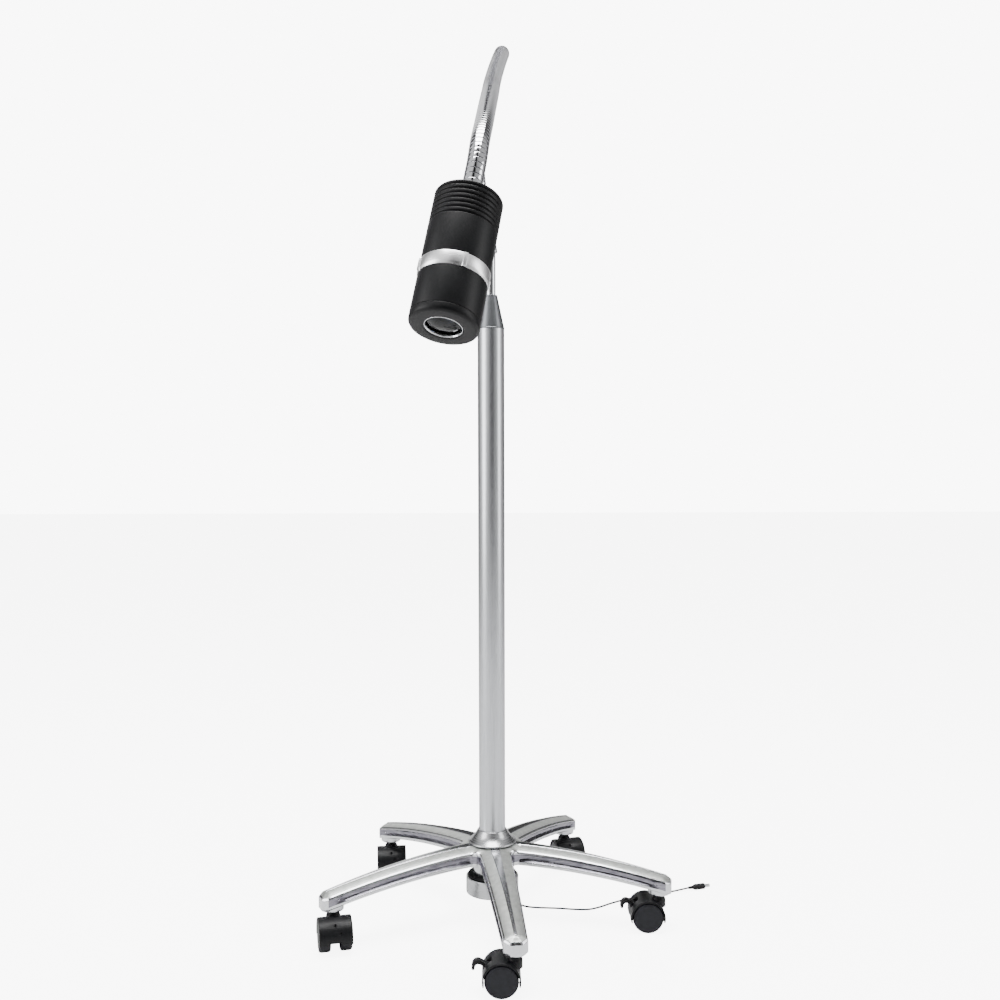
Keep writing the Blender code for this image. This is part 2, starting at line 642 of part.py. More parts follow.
def head_inside():
    inner = HEAD_R - HEAD_WALL
    fit = inner - GAP
    put("driver_board", disc(fit - 1 * MM, 13 * MM, 14.6 * MM, 24, 4 * MM), BOARD, HEAD_PLACE)
    sink = [(0, 24 * MM), (fit, 24 * MM), (fit, 30 * MM), (12 * MM, 32 * MM), (12 * MM, 52 * MM),
            (20 * MM, 54 * MM), (20 * MM, 58 * MM), (0, 58 * MM)]
    put("led_heatsink", turned(sink, 22), POLISHED, HEAD_PLACE)
    put("led_board", disc(10 * MM, 58 * MM + GAP, 59.6 * MM), BOARD, HEAD_PLACE)
    low = 59.6 * MM + GAP
    dome = [(0, low), (3.5 * MM, low), (3.5 * MM, low + 1 * MM), (2.5 * MM, low + 2.6 * MM),
            (0, low + 3.4 * MM)]
    put("led_emitter", turned(dome, 16), PHOSPHOR, HEAD_PLACE)

    slide_r = SLEEVE_R - SLEEVE_WALL - RUNNING
    start = HOUSING_LONG - 4 * MM
    bore = slide_r - 3.5 * MM
    lip = bore - 3 * MM
    carrier = [
        (bore, start), (slide_r, start), (slide_r, start + 12 * MM), (bore, start + 12 * MM),
        (bore, start + 6 * MM), (lip, start + 6 * MM), (lip, start + 3 * MM), (bore, start + 3 * MM),
    ]
    put("condenser_carrier", turned(carrier, 22, closed=True), BLACK_METAL, HEAD_PLACE)
    rim = start + 6 * MM + GAP
    r = bore - GAP
    lens = [(0, rim), (r, rim), (r, rim + 2 * MM), (0.7 * r, rim + 6 * MM), (0.35 * r, rim + 8.4 * MM),
            (0, rim + 9.2 * MM)]
    put("condenser_lens", turned(lens, 22), GLASS, HEAD_PLACE)


def head_front():
    ring_in = SLEEVE_R + RUNNING
    low = RING_START
    high = low + RING_LONG
    outline = [(ring_in, low), (HEAD_R + 0.3 * MM, low), (HEAD_R + 0.9 * MM, low + 0.8 * MM),
               (HEAD_R + 0.9 * MM, high - 2 * MM), (HEAD_R - 0.2 * MM, high), (ring_in, high)]
    ring = put("focus_ring", turned(outline, 22, closed=True), RING_METAL, HEAD_PLACE)
    for k in range(4):
        turn = Matrix.Rotation(RIDGE_TURN + k * math.pi / 2, 4, "Z")
        ridge = box((HEAD_R - 2 * MM, -RIDGE_HALF, low + 0.4 * MM),
                    (HEAD_R + RING_PROUD, RIDGE_HALF, high - 1.6 * MM))
        boolean(ring, tool(ridge, HEAD_PLACE @ turn), "UNION")

    barrel_low = high + GAP
    seam = HEAD_LONG - BEZEL_LONG
    thread_r = SLEEVE_R + GAP
    wall_r = HEAD_R - 6.2 * MM
    barrel = [
        (thread_r, barrel_low), (HEAD_R, barrel_low), (HEAD_R, seam - GAP), (wall_r, seam - GAP),
        (wall_r, SLEEVE_END + 3 * MM), (thread_r, SLEEVE_END + 1 * MM),
    ]
    put("front_barrel", turned(barrel, 22, closed=True), BLACK_METAL, HEAD_PLACE)

    spigot_r = wall_r - GAP
    seat = HEAD_LONG - LENS_SEAT_DEEP
    bezel = [
        (LENS_R - 2.4 * MM, seat), (spigot_r - 2 * MM, seat - 6 * MM), (spigot_r, seat - 6 * MM),
        (spigot_r, seam), (HEAD_R, seam), (HEAD_R, HEAD_LONG - BEZEL_ROUND),
        (HEAD_R - 0.3 * BEZEL_ROUND, HEAD_LONG - 0.3 * BEZEL_ROUND), (HEAD_R - BEZEL_ROUND, HEAD_LONG),
        (LENS_RING_R + GAP, HEAD_LONG), (LENS_RING_R + GAP, HEAD_LONG - 3.4 * MM),
        (LENS_R + GAP, HEAD_LONG - 3.4 * MM), (LENS_R + GAP, seat + 1.5 * MM),
        (LENS_R - 2.4 * MM, seat + 1.5 * MM),
    ]
    put("front_bezel", turned(bezel, 22, closed=True), BLACK_METAL, HEAD_PLACE)

    base = seat + 1.5 * MM + GAP
    rim = base + 2.6 * MM
    lens = [(0, base), (LENS_R, base), (LENS_R, rim), (0.75 * LENS_R, rim + 1.9 * MM),
            (0.4 * LENS_R, rim + 3.1 * MM), (0, rim + 3.6 * MM)]
    put("front_lens", turned(lens, 22), GLASS, HEAD_PLACE)
    inner = LENS_R - 1.0 * MM
    keeper = [(inner, HEAD_LONG - 3.1 * MM), (LENS_RING_R, HEAD_LONG - 3.1 * MM),
              (LENS_RING_R, HEAD_LONG - 0.6 * MM),
              (inner, HEAD_LONG - 0.9 * MM)]
    put("lens_ring", turned(keeper, 22, closed=True), CHROME, HEAD_PLACE)


# ---- cord ----

EXIT_Z = WEIGHT_BOTTOM - GLAND_LONG
CORD_TO_COIL = [
    Vector((0.0280, 0.0180, EXIT_Z - GAP)),
    Vector((0.0280, 0.0180, 0.0210)),
    Vector((0.0280, 0.0210, 0.0110)),
    Vector((0.0275, 0.0280, 0.0040)),
    Vector((0.0265, 0.0370, FLOOR_Z)),
    Vector((0.0245, 0.0480, FLOOR_Z)),
    Vector((0.0190, 0.0585, FLOOR_Z)),
    Vector((0.0100, 0.0655, FLOOR_Z)),
    Vector((-0.0010, 0.0710, FLOOR_Z)),
    Vector((-0.0115, 0.0778, FLOOR_Z)),
    Vector((-0.0190, 0.0868, FLOOR_Z)),
]
CORD_TO_PLUG = [
    Vector((0.0312, 0.0985, FLOOR_Z)),
    Vector((0.0330, 0.0860, FLOOR_Z)),
    Vector((0.0345, 0.0720, FLOOR_Z)),
    Vector((0.0370, 0.0560, FLOOR_Z)),
    Vector((0.0430, 0.0400, FLOOR_Z)),
    Vector((0.0560, 0.0290, FLOOR_Z)),
    Vector((0.0730, 0.0245, FLOOR_Z)),
    Vector((0.0900, 0.0230, FLOOR_Z)),
    Vector((0.1130, 0.0205, FLOOR_Z)),
    Vector((0.1350, 0.0165, FLOOR_Z)),
    Vector((0.1570, 0.0165, FLOOR_Z)),
    Vector((0.1760, 0.0260, FLOOR_Z)),
    Vector((0.1930, 0.0390, FLOOR_Z)),
    Vector((0.2110, 0.0510, FLOOR_Z)),
    Vector((0.2320, 0.0625, FLOOR_Z)),
    Vector((0.2560, 0.0735, FLOOR_Z)),
    Vector((0.2790, 0.0815, FLOOR_Z)),
    Vector((0.3030, 0.0880, 0.0024)),
    Vector((0.3250, 0.0945, 0.0044)),
    Vector((0.3330, 0.0972, PLUG_R + CLEAR_OF_FLOOR)),
]


def cord_tube(name, route):
    """A plain tube through a route, with a point every two or three diameters."""
    line = Line(smooth_route(route))
    count = max(6, round(line.long / (3 * CORD_D)))
    points = [line.at(line.long * i / count) for i in range(count + 1)]
    data = bpy.data.curves.new(name, "CURVE")
    data.dimensions = "3D"
    data.bevel_depth = CORD_D / 2
    data.bevel_resolution = 2
    data.use_fill_caps = True
    spline = data.splines.new("POLY")
    spline.points.add(count)
    for point, at in zip(spline.points, points):
        point.co = (*at, 1)
    made = bpy.data.objects.new(name, data)
    bpy.context.scene.collection.objects.link(made)
    kind, colour, roughness, metallic = CORD_SKIN
    data.materials.append(material(f"{name}_{kind}", colour, roughness, metallic))
    return made


def cord():
    gland = [
        (CORD_D / 2 + 0.4 * MM, -GLAND_LONG), (2.6 * MM, -GLAND_LONG), (3.6 * MM, -2 * MM),
        (6.5 * MM, -2 * MM), (6.5 * MM, -GAP), (GLAND_R, -GAP), (GLAND_R, GLAND_LONG),
        (CORD_D / 2 + 0.4 * MM, GLAND_LONG),
    ]
    put("cord_gland", turned(gland, 16, closed=True), CORD_SKIN, Matrix.Translation(GLAND_AT))
    cord_tube("cord_to_coil", CORD_TO_COIL)
    low = GAP / 3
    inner = COIL_MEAN_R - COIL_HALF_WIDE
    outer = COIL_MEAN_R + COIL_HALF_WIDE
    ring = [
        (inner, low + 2 * MM), (inner + 2 * MM, low), (outer - 2 * MM, low), (outer, low + 2 * MM),
        (outer, COIL_HIGH - 2 * MM), (outer - 2 * MM, COIL_HIGH), (inner + 2 * MM, COIL_HIGH),
        (inner, COIL_HIGH - 2 * MM),
    ]
    put("cord_coil", turned(ring, 24, closed=True), CORD_SKIN, Matrix.Translation(COIL_AT))
    cord_tube("cord_to_plug", CORD_TO_PLUG)

    end = CORD_TO_PLUG[-1]
    way = Vector((end.x - CORD_TO_PLUG[-3].x, end.y - CORD_TO_PLUG[-3].y, 0)).normalized()
    tip_r = 2.75 * MM
    body = PLUG_LONG
    plug = [
        (0, GAP), (2.4 * MM, GAP), (2.8 * MM, 8 * MM), (PLUG_R - 0.6 * MM, 11 * MM), (PLUG_R, 13 * MM),
        (PLUG_R, body - 1 * MM),
        (PLUG_R - 1 * MM, body), (tip_r, body), (tip_r, body + PLUG_TIP_LONG), (0, body + PLUG_TIP_LONG),
    ]
    put("dc_plug", turned(plug, 16), CORD_SKIN, facing(end, way, Vector((0, 0, 1))))


base_star()
for leg_number in range(LEGS):
    castor(leg_number)
counterweight()
pole()
neck_ends()
for section_number in range(SECTIONS):
    neck_section(section_number)
head_housing()
head_inside()
head_front()
cord()
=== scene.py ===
# %% [markdown]
# # An examination lamp
#
# The real lamp is an LED spot head on a chrome gooseneck. It stands on a satin aluminium pole, in a
# die-cast star base with five twin-wheel castors. This script dresses the measured model of the lamp:
# every piece below takes its place from that model, and gets its final surface and finish here.

# %% Load the measured model
import json
import math

import bmesh
import bpy
from mathutils import Matrix, Vector


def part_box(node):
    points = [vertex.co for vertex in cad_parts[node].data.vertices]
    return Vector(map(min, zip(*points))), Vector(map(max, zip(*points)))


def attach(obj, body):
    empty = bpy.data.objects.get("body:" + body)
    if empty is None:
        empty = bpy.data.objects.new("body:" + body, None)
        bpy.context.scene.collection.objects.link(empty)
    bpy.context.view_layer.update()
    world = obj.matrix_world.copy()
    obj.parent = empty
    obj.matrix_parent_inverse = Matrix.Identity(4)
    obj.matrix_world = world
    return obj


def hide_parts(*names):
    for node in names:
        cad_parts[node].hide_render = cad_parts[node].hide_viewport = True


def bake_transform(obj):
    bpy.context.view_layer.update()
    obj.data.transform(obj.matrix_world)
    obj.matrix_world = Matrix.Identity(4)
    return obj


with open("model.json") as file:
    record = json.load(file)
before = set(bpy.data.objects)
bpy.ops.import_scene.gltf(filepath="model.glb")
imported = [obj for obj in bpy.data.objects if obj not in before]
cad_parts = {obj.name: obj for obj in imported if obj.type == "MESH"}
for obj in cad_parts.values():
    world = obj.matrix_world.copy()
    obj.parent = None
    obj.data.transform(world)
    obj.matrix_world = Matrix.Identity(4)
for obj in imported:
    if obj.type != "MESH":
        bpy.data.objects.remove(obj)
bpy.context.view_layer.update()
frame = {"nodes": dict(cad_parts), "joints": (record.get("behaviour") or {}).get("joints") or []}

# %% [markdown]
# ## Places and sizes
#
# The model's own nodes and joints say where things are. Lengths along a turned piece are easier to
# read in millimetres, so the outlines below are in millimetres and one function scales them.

MM = 0.001
JOINTS = {joint["name"]: joint for joint in frame["joints"]}
LEGS = 5


def top(node):
    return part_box(node)[1].z / MM


def bottom(node):
    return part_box(node)[0].z / MM


def facing(origin, z_axis, x_hint=Vector((1, 0, 0))):
    """The place with that origin whose own Z points along z_axis."""
    z = Vector(z_axis).normalized()
    y = z.cross(x_hint).normalized()
    x = y.cross(z)
    return Matrix.Translation(origin) @ Matrix((x, y, z)).transposed().to_4x4()


RING_MIDDLE = 86 * MM  # from the head's rear face to the middle of its focus ring
HEAD_AXIS = Vector(JOINTS["focus_turn"]["axis"]).normalized()
HEAD_REAR = Vector(JOINTS["focus_turn"]["pos_m"]) - HEAD_AXIS * RING_MIDDLE
HEAD_PLACE = facing(HEAD_REAR, HEAD_AXIS)
print("head's rear face", [round(v, 4) for v in HEAD_REAR])

# %% [markdown]
# ## Camera
#
# The lamp is looked at from its front, a little above the middle of the pole and slightly downwards,
# with a lens a bit wider than normal for the distance. The small shift only centres the lamp.

# %% Set the camera
LENS = 41.08
CAMERA_AT = Vector((-0.0018, -1.8, 0.746))
YAW, PITCH, ROLL = math.radians(0.24), math.radians(3.25), math.radians(-0.14)

camera_data = bpy.data.cameras.new("camera")
camera_data.lens = LENS
camera_data.sensor_width = 36
camera_data.shift_x = 0.005
camera_data.shift_y = 0.016
camera = bpy.data.objects.new("camera", camera_data)
bpy.context.scene.collection.objects.link(camera)
turn = Matrix.Rotation(-YAW, 4, "Z") @ Matrix.Rotation(math.pi / 2 - PITCH, 4, "X")
turn = turn @ Matrix.Rotation(ROLL, 4, "Z")
camera.matrix_world = Matrix.Translation(CAMERA_AT) @ turn
bpy.context.scene.camera = camera
print("camera", [round(v, 3) for v in CAMERA_AT])

# %% [markdown]
# ## Small tools for materials
#
# A colour is written as it looks on a screen, in sRGB hex, and turned to the linear values that a
# renderer needs. One function adds a node, with its settings and whatever goes into its sockets.
#
# Every finish is a plain surface with a few noise patterns over it. A pattern has a real size in
# millimetres, and it may drive the colour, the roughness, the relief, or several of them at once.

# %% Colour, node and material helpers


def linear(hex_colour):
    parts = [int(hex_colour[i : i + 2], 16) / 255 for i in (1, 3, 5)]
    return (*[p / 12.92 if p <= 0.04045 else ((p + 0.055) / 1.055) ** 2.4 for p in parts], 1.0)


def add(tree, kind, settings=None, inputs=None):
    """Add a node. inputs maps a socket's name or number to a value or to another node's output."""
    made = tree.nodes.new(kind)
    for name, value in (settings or {}).items():
        setattr(made, name, value)
    for name, value in (inputs or {}).items():
        if isinstance(value, bpy.types.NodeSocket):
            tree.links.new(value, made.inputs[name])
        else:
            made.inputs[name].default_value = value
    return made


def material(name, colour, roughness, metallic, patterns=(), **sockets):
    """A material with patterns over it.

    A pattern's size is in millimetres, one for all axes or one for each, and 0 leaves an axis out.
    It lies on the object, or on the UV layer named in over. Where it has them, its colours and its
    roughness are the two ends that it wanders between, and its depth is that of its bumps.
    """
    made = bpy.data.materials.new(name)
    made.use_nodes = True
    tree = made.node_tree
    shader = tree.nodes["Principled BSDF"]
    shader.inputs["Base Color"].default_value = linear(colour)
    shader.inputs["Roughness"].default_value = roughness
    shader.inputs["Metallic"].default_value = metallic
    for socket, value in sockets.items():
        shader.inputs[socket.replace("_", " ")].default_value = value
    bump = None
    for pattern in patterns:
        if "over" in pattern:
            point = add(tree, "ShaderNodeUVMap", {"uv_map": pattern["over"]}).outputs[0]
        else:
            point = add(tree, "ShaderNodeTexCoord").outputs["Object"]
        size = pattern["size"]
        sizes = size if isinstance(size, tuple) else (size, size, size)
        scale = [1 / (v * MM) if v else 0 for v in sizes]
        at = add(tree, "ShaderNodeVectorMath", {"operation": "MULTIPLY"}, {0: point, 1: scale}).outputs[0]
        value = add(tree, "ShaderNodeTexNoise", None,
                    {"Vector": at, "Scale": 1.0, "Detail": pattern["detail"]}).outputs[0]
        # Noise mostly lies between 0.3 and 0.7, so that is the range spread over the two ends.
        if "colours" in pattern:
            dark, light = [linear(v) for v in pattern["colours"]]
            share = add(tree, "ShaderNodeMapRange", None, {"Value": value, 1: 0.3, 2: 0.7}).outputs[0]
            mix = add(tree, "ShaderNodeMix", {"data_type": "RGBA"}, {0: share, 6: dark, 7: light})
            tree.links.new(mix.outputs[2], shader.inputs["Base Color"])
        if "roughness" in pattern:
            low, high = pattern["roughness"]
            share = add(tree, "ShaderNodeMapRange", None, {"Value": value, 1: 0.3, 2: 0.7, 3: low, 4: high})
            tree.links.new(share.outputs[0], shader.inputs["Roughness"])
        if "depth" in pattern:
            inputs = {"Height": value, "Distance": pattern["depth"] * MM, "Strength": 1.0}
            if bump:
                inputs["Normal"] = bump
            bump = add(tree, "ShaderNodeBump", None, inputs).outputs[0]
            tree.links.new(bump, shader.inputs["Normal"])
    return made


# %% [markdown]
# ## The finishes
#
# **Die-cast aluminium, polished.** The star is cast, ground and buffed on a wheel. Buffing leaves a
# mirror that is never quite flat: reflections wander over a few millimetres, with faint haze between.
#
# ** Die-cast aluminium, brushed.** The broad faces on top of the legs are left with the belt's lines,
# which run along the leg and spread a reflection into a grey sheen. The hollows along the flanks get
# a darker copy of the polish. It is painted shade, for the shade and dark reflections that fall in them.

# %% Cast aluminium
POLISHED_CAST = material("die_cast_aluminium_polished", "#D6D7DA", 0.2, 1.0, [
    dict(size=7, detail=2, depth=0.11),
    dict(size=1.6, detail=4, colours=("#C9CACE", "#DEDFE1"), roughness=(0.13, 0.27)),
    dict(size=0.5, detail=3, depth=0.006),
])
BRUSHED_CAST = material("die_cast_aluminium_brushed", "#C2C5C2", 0.42, 1.0, [
    dict(over="along_leg", size=(14, 0.35, 1), detail=3, roughness=(0.34, 0.5), depth=0.02),
    dict(size=9, detail=3, colours=("#C3C6C2", "#DCDEDB")),
])
# Painted shade: this darker copy of the polish goes into the hollows along the flanks, for the shade that
# falls there.
HOLLOW_PAINTED_SHADE_CAST = material("die_cast_aluminium_hollow_painted_shade", "#7C7A83", 0.26, 1.0, [
    dict(size=(16, 16, 2.2), detail=4, colours=("#6A6872", "#96949C"), roughness=(0.16, 0.3)),
    dict(size=6, detail=2, depth=0.1),
])
print("cast aluminium", POLISHED_CAST.name, BRUSHED_CAST.name)

# %% [markdown]
# **Satin anodised aluminium** is the pole: a drawn tube, etched and clear anodised. The etch gives a
# soft, even sheen with grains far below a millimetre, and drawing leaves faint lines along the tube.
#
# ** Turned metals** are the cone, the focus ring, the counterweight, the axles and the grooves of the
# gooseneck. In the grooves the steel is darker, which is painted shade. Turning leaves rings about 0.2 mm
# apart, drawn here at 0.5 mm so that they just show.

# %% Anodised and turned metals
SATIN_TUBE = material("aluminium_satin_anodised", "#BFC1C5", 0.3, 1.0, [
    dict(size=(0.6, 0.6, 60), detail=2, colours=("#B7B9BD", "#C8CACD"), depth=0.008),
    dict(size=0.4, detail=2, roughness=(0.26, 0.34), depth=0.006),
])


def turned_metal(name, dark, light, roughness):
    rings = dict(size=(0, 0, 0.5), detail=2, colours=(dark, light),
                 roughness=(roughness - 0.05, roughness + 0.06),
                 depth=0.006)
    return material(name, dark, roughness, 1.0, [rings])


GREY_CONE = turned_metal("aluminium_grey_anodised", "#6B6D70", "#7C7E81", 0.34)
RING_METAL = turned_metal("aluminium_turned", "#EDEDEF", "#FAFAFA", 0.32)
STEEL = turned_metal("steel_machined", "#8D8F92", "#A3A5A8", 0.3)
WEIGHT_STEEL = turned_metal("steel_nickel_plated", "#A9AAAC", "#BFC0C2", 0.26)
# Painted shade: a darker steel for the grooves of the gooseneck, for the shade that falls in them.
GROOVE_PAINTED_SHADE_STEEL = turned_metal("steel_groove_painted_shade", "#6A6A6F", "#85858A", 0.34)
print("anodised and turned metals made")

# %% [markdown]
# **Chrome plate** covers the gooseneck, the rod and the lens ring. It is nearly a mirror, with only
# a trace of haze from handling.
#
# **Black anodised aluminium** is the head. It is bead blasted first, so it is matte, and the black
# dye sits in a clear oxide. It reflects like a dark plastic more than like a metal. Blasting breaks
# up the clear reflection, so its index of refraction is set below the oxide's.

# %% Chrome and black anodised aluminium
CHROME = material("chrome_plate", "#E2E3E6", 0.06, 1.0, [
    dict(size=3, detail=4, colours=("#DADBDF", "#E8E9EB"), roughness=(0.04, 0.09)),
])
BLACK_ANODISED = material("aluminium_black_anodised", "#0B0B0D", 0.42, 0.0, [
    dict(size=0.35, detail=2, roughness=(0.36, 0.48), depth=0.018),
    dict(size=11, detail=3, colours=("#08080A", "#0D0D10")),
], IOR=1.32, Specular_IOR_Level=0.4)
print("chrome and black anodised made")

# %% [markdown]
# **Nylon** castors are moulded in charcoal, with a fine spark-eroded grain on the hoods and slightly
# lighter, smoother discs. **PVC** sheathes the cord, and the pad under the hub is **rubber**. Their
# index of refraction is set a little low too, which keeps the dark plastics dark in a bright room.

# %% Moulded plastics


def moulded(name, dark, light, roughness, grain_size, grain_depth):
    return material(name, dark, roughness, 0.0, [
        dict(size=grain_size, detail=3, roughness=(roughness - 0.07, roughness + 0.07), depth=grain_depth),
        dict(size=8, detail=2, colours=(dark, light)),
    ], IOR=1.36, Specular_IOR_Level=0.35)


HOOD_NYLON = moulded("nylon_charcoal_grained", "#0C0C0E", "#121214", 0.42, 0.6, 0.03)
DISC_NYLON = moulded("nylon_charcoal_smooth", "#1A1A1E", "#202025", 0.48, 1.2, 0.012)
PVC = moulded("pvc_black", "#161618", "#1F1F21", 0.45, 0.8, 0.02)
RUBBER = moulded("rubber_black", "#101012", "#1A1A1C", 0.7, 0.9, 0.04)
BOARD_GREEN = moulded("circuit_board_green", "#0E4424", "#155A31", 0.4, 1.6, 0.05)
PHOSPHOR = moulded("phosphor_yellow", "#D9B93E", "#E6CB5C", 0.5, 0.5, 0.02)
print("plastics made")

# %% [markdown]
# **Optical glass** with an anti-reflection coat. The coat cancels most of the reflection, so the
# index of refraction is set low instead of the bare glass's 1.52. The lens is tinted dark, because
# little light comes back from inside the head. A little dust keeps it from being perfectly smooth.

# %% Glass
OPTICAL_GLASS = material("optical_glass", "#1E222C", 0.01, 0.0, [
    dict(size=0.9, detail=4, roughness=(0.0, 0.03)),
], IOR=1.3, Specular_IOR_Level=0.3, Transmission_Weight=1.0)
print("glass made")

# %% [markdown]
# ## Small tools for shapes
#
# Most of the lamp is turned, so one function rounds the corners of an outline and another spins it.
# A real edge is never perfectly sharp, and its small round is what catches a line of light.

# %% Shape helpers


def rounded(outline, closed, steps=4):
    """An outline of (radius, height[, corner round]) in millimetres, with its corners rounded."""
    points = []
    count = len(outline)
    for i, (r, z, *size) in enumerate(outline):
        here = Vector((r, z))
        inner = closed or 0 < i < count - 1
        if not size or not inner:
            points.append(here)
            continue
        before = Vector(outline[i - 1][:2]) - here
        after = Vector(outline[(i + 1) % count][:2]) - here
        start = here + before.normalized() * min(size[0], before.length * 0.48)
        end = here + after.normalized() * min(size[0], after.length * 0.48)
        for k in range(steps + 1):
            t = k / steps
            points.append(start * (1 - t) ** 2 + here * 2 * t * (1 - t) + end * t**2)
    return points


def finished(build, name):
    """A mesh from a bmesh, faces out, smooth except at real edges."""
    bmesh.ops.recalc_face_normals(build, faces=build.faces)
    mesh = bpy.data.meshes.new(name)
    build.to_mesh(mesh)
    build.free()
    mesh.shade_smooth()
    mesh.set_sharp_from_angle(angle=math.radians(32))
    return mesh


def skin(rows, name, closed=False):
    """Join rows of points, each a loop, into one closed mesh."""
    build = bmesh.new()
    loops = [[build.verts.new(p) for p in row] for row in rows]
    pairs = list(zip(loops, loops[1:]))
    if closed:
        pairs.append((loops[-1], loops[0]))
    for low, high in pairs:
        for i in range(max(len(low), len(high))):
            near = [low[i % len(low)], low[(i + 1) % len(low)]]
            corners = [*near, high[(i + 1) % len(high)], high[i % len(high)]]
            build.faces.new(list(dict.fromkeys(corners)))
    if not closed:
        for loop in (loops[0], loops[-1]):
            if len(loop) > 2:
                build.faces.new(loop)
    return finished(build, name)


def turned(name, outline, closed=True, sides=96, steps=4):
    """Spin an outline in millimetres round Z."""
    rows = []
    for r, z in rounded(outline, closed, steps):
        if r < 1e-6:
            rows.append([Vector((0, 0, z * MM))])
        else:
            angles = [math.tau * i / sides for i in range(sides)]
            rows.append([Vector((r * math.cos(a), r * math.sin(a), z)) * MM for a in angles])
    return skin(rows, name, closed)


def extruded(name, outline, half):
    """A plate of an outline in X and Z, in millimetres, half its width to each side in Y."""
    rows = [[Vector((x, y, z)) * MM for x, z in outline] for y in (-half, half)]
    return skin(rows, name)


def smooth_route(points, per_span=12):
    """A smooth curve through points, by Catmull-Rom spans."""
    ends = [2 * points[0] - points[1], *points, 2 * points[-1] - points[-2]]
    out = []
    for a, b, c, d in zip(ends, ends[1:], ends[2:], ends[3:]):
        for k in range(per_span):
            t = k / per_span
            out.append(0.5 * (2 * b + (c - a) * t + (2 * a - 5 * b + 4 * c - d) * t**2
                              + (3 * b - a - 3 * c + d) * t**3))
    return [*out, points[-1].copy()]


def length_of(points):
    return sum((b - a).length for a, b in zip(points, points[1:]))


def link(name, data, place=None):
    made = bpy.data.objects.new(name, data)
    bpy.context.scene.collection.objects.link(made)
    if place is not None:
        made.matrix_world = place
    return made


def combine(target, mesh, place, operation):
    """Join a shape to a piece, or cut it out, and keep the result."""
    operand = link("operand", mesh, place)
    step = target.modifiers.new("step", "BOOLEAN")
    step.operation = operation
    step.solver = "EXACT"
    step.object = operand
    bpy.context.view_layer.update()
    result = bpy.data.meshes.new_from_object(target.evaluated_get(bpy.context.evaluated_depsgraph_get()))
    target.modifiers.remove(step)
    target.data = result
    bpy.data.objects.remove(operand)


def edged(target, width, segments=3, angle=32):
    """Round a piece's edges for good."""
    step = target.modifiers.new("edges", "BEVEL")
    step.width = width * MM
    step.segments = segments
    step.limit_method = "ANGLE"
    step.angle_limit = math.radians(angle)
    step.harden_normals = False
    bpy.context.view_layer.update()
    result = bpy.data.meshes.new_from_object(target.evaluated_get(bpy.context.evaluated_depsgraph_get()))
    target.modifiers.remove(step)
    target.data = result
    result.shade_smooth()
    result.set_sharp_from_angle(angle=math.radians(40))


def dress(made, look, body, nodes=()):
    """Give a piece its finish, its body and the model nodes that it stands for."""
    made.data.materials.clear()
    made.data.materials.append(look)
    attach(made, body)
    if nodes:
        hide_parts(*nodes)
    return made


def turned_piece(name, outline, look, body, nodes, place=None, closed=True, sides=96):
    return dress(link(name, turned(name, outline, closed, sides), place), look, body, nodes)


# %% [markdown]
# ## The lead
#
# The lamp runs on low voltage from a plug-in adapter, so its lead is a thin, limp PVC cord, 3 mm
# thick and 1.5 m long, with a barrel plug. It comes straight down out of a gland in the counterweight
# and lies on the floor. Most of its length is wound in a flat coil of two layers behind the
# counterweight; the rest wanders off to the right, behind the castor there.

# %% Route of the lead
CORD_D = 3 * MM
FLOOR_Z = 1.6 * MM
GLAND_AT = Vector((0.028, 0.018, 0.040))
COIL_AT = Vector((0.004, 0.103, 0.0))
COIL_OUT = 24 * MM
COIL_IN = 9 * MM
COIL_TURNS = 9.624
LAYER_UP = 3.05 * MM
CORD_TO_COIL = [
    Vector((0.0280, 0.0180, 0.0277)),
    Vector((0.0280, 0.0180, 0.0210)),
    Vector((0.0280, 0.0210, 0.0110)),
    Vector((0.0275, 0.0280, 0.0040)),
    Vector((0.0265, 0.0370, FLOOR_Z)),
    Vector((0.0245, 0.0480, FLOOR_Z)),
    Vector((0.0190, 0.0585, FLOOR_Z)),
    Vector((0.0100, 0.0655, FLOOR_Z)),
    Vector((-0.0010, 0.0710, FLOOR_Z)),
    Vector((-0.0115, 0.0778, FLOOR_Z)),
    Vector((-0.0190, 0.0868, FLOOR_Z)),
]
CORD_TO_PLUG = [
    Vector((0.0312, 0.0985, FLOOR_Z)),
    Vector((0.0330, 0.0860, FLOOR_Z)),
    Vector((0.0345, 0.0720, FLOOR_Z)),
    Vector((0.0370, 0.0560, FLOOR_Z)),
    Vector((0.0430, 0.0400, FLOOR_Z)),
    Vector((0.0560, 0.0290, FLOOR_Z)),
    Vector((0.0730, 0.0245, FLOOR_Z)),
    Vector((0.0900, 0.0230, FLOOR_Z)),
    Vector((0.1130, 0.0205, FLOOR_Z)),
    Vector((0.1350, 0.0165, FLOOR_Z)),
    Vector((0.1570, 0.0165, FLOOR_Z)),
    Vector((0.1760, 0.0260, FLOOR_Z)),
    Vector((0.1930, 0.0390, FLOOR_Z)),
    Vector((0.2110, 0.0510, FLOOR_Z)),
    Vector((0.2320, 0.0625, FLOOR_Z)),
    Vector((0.2560, 0.0735, FLOOR_Z)),
    Vector((0.2790, 0.0815, FLOOR_Z)),
    Vector((0.3030, 0.0880, 0.0024)),
    Vector((0.3250, 0.0945, 0.0044)),
    Vector((0.3330, 0.0972, 0.0051)),
]


def ease(t):
    t = min(1.0, max(0.0, t))
    return t * t * (3 - 2 * t)


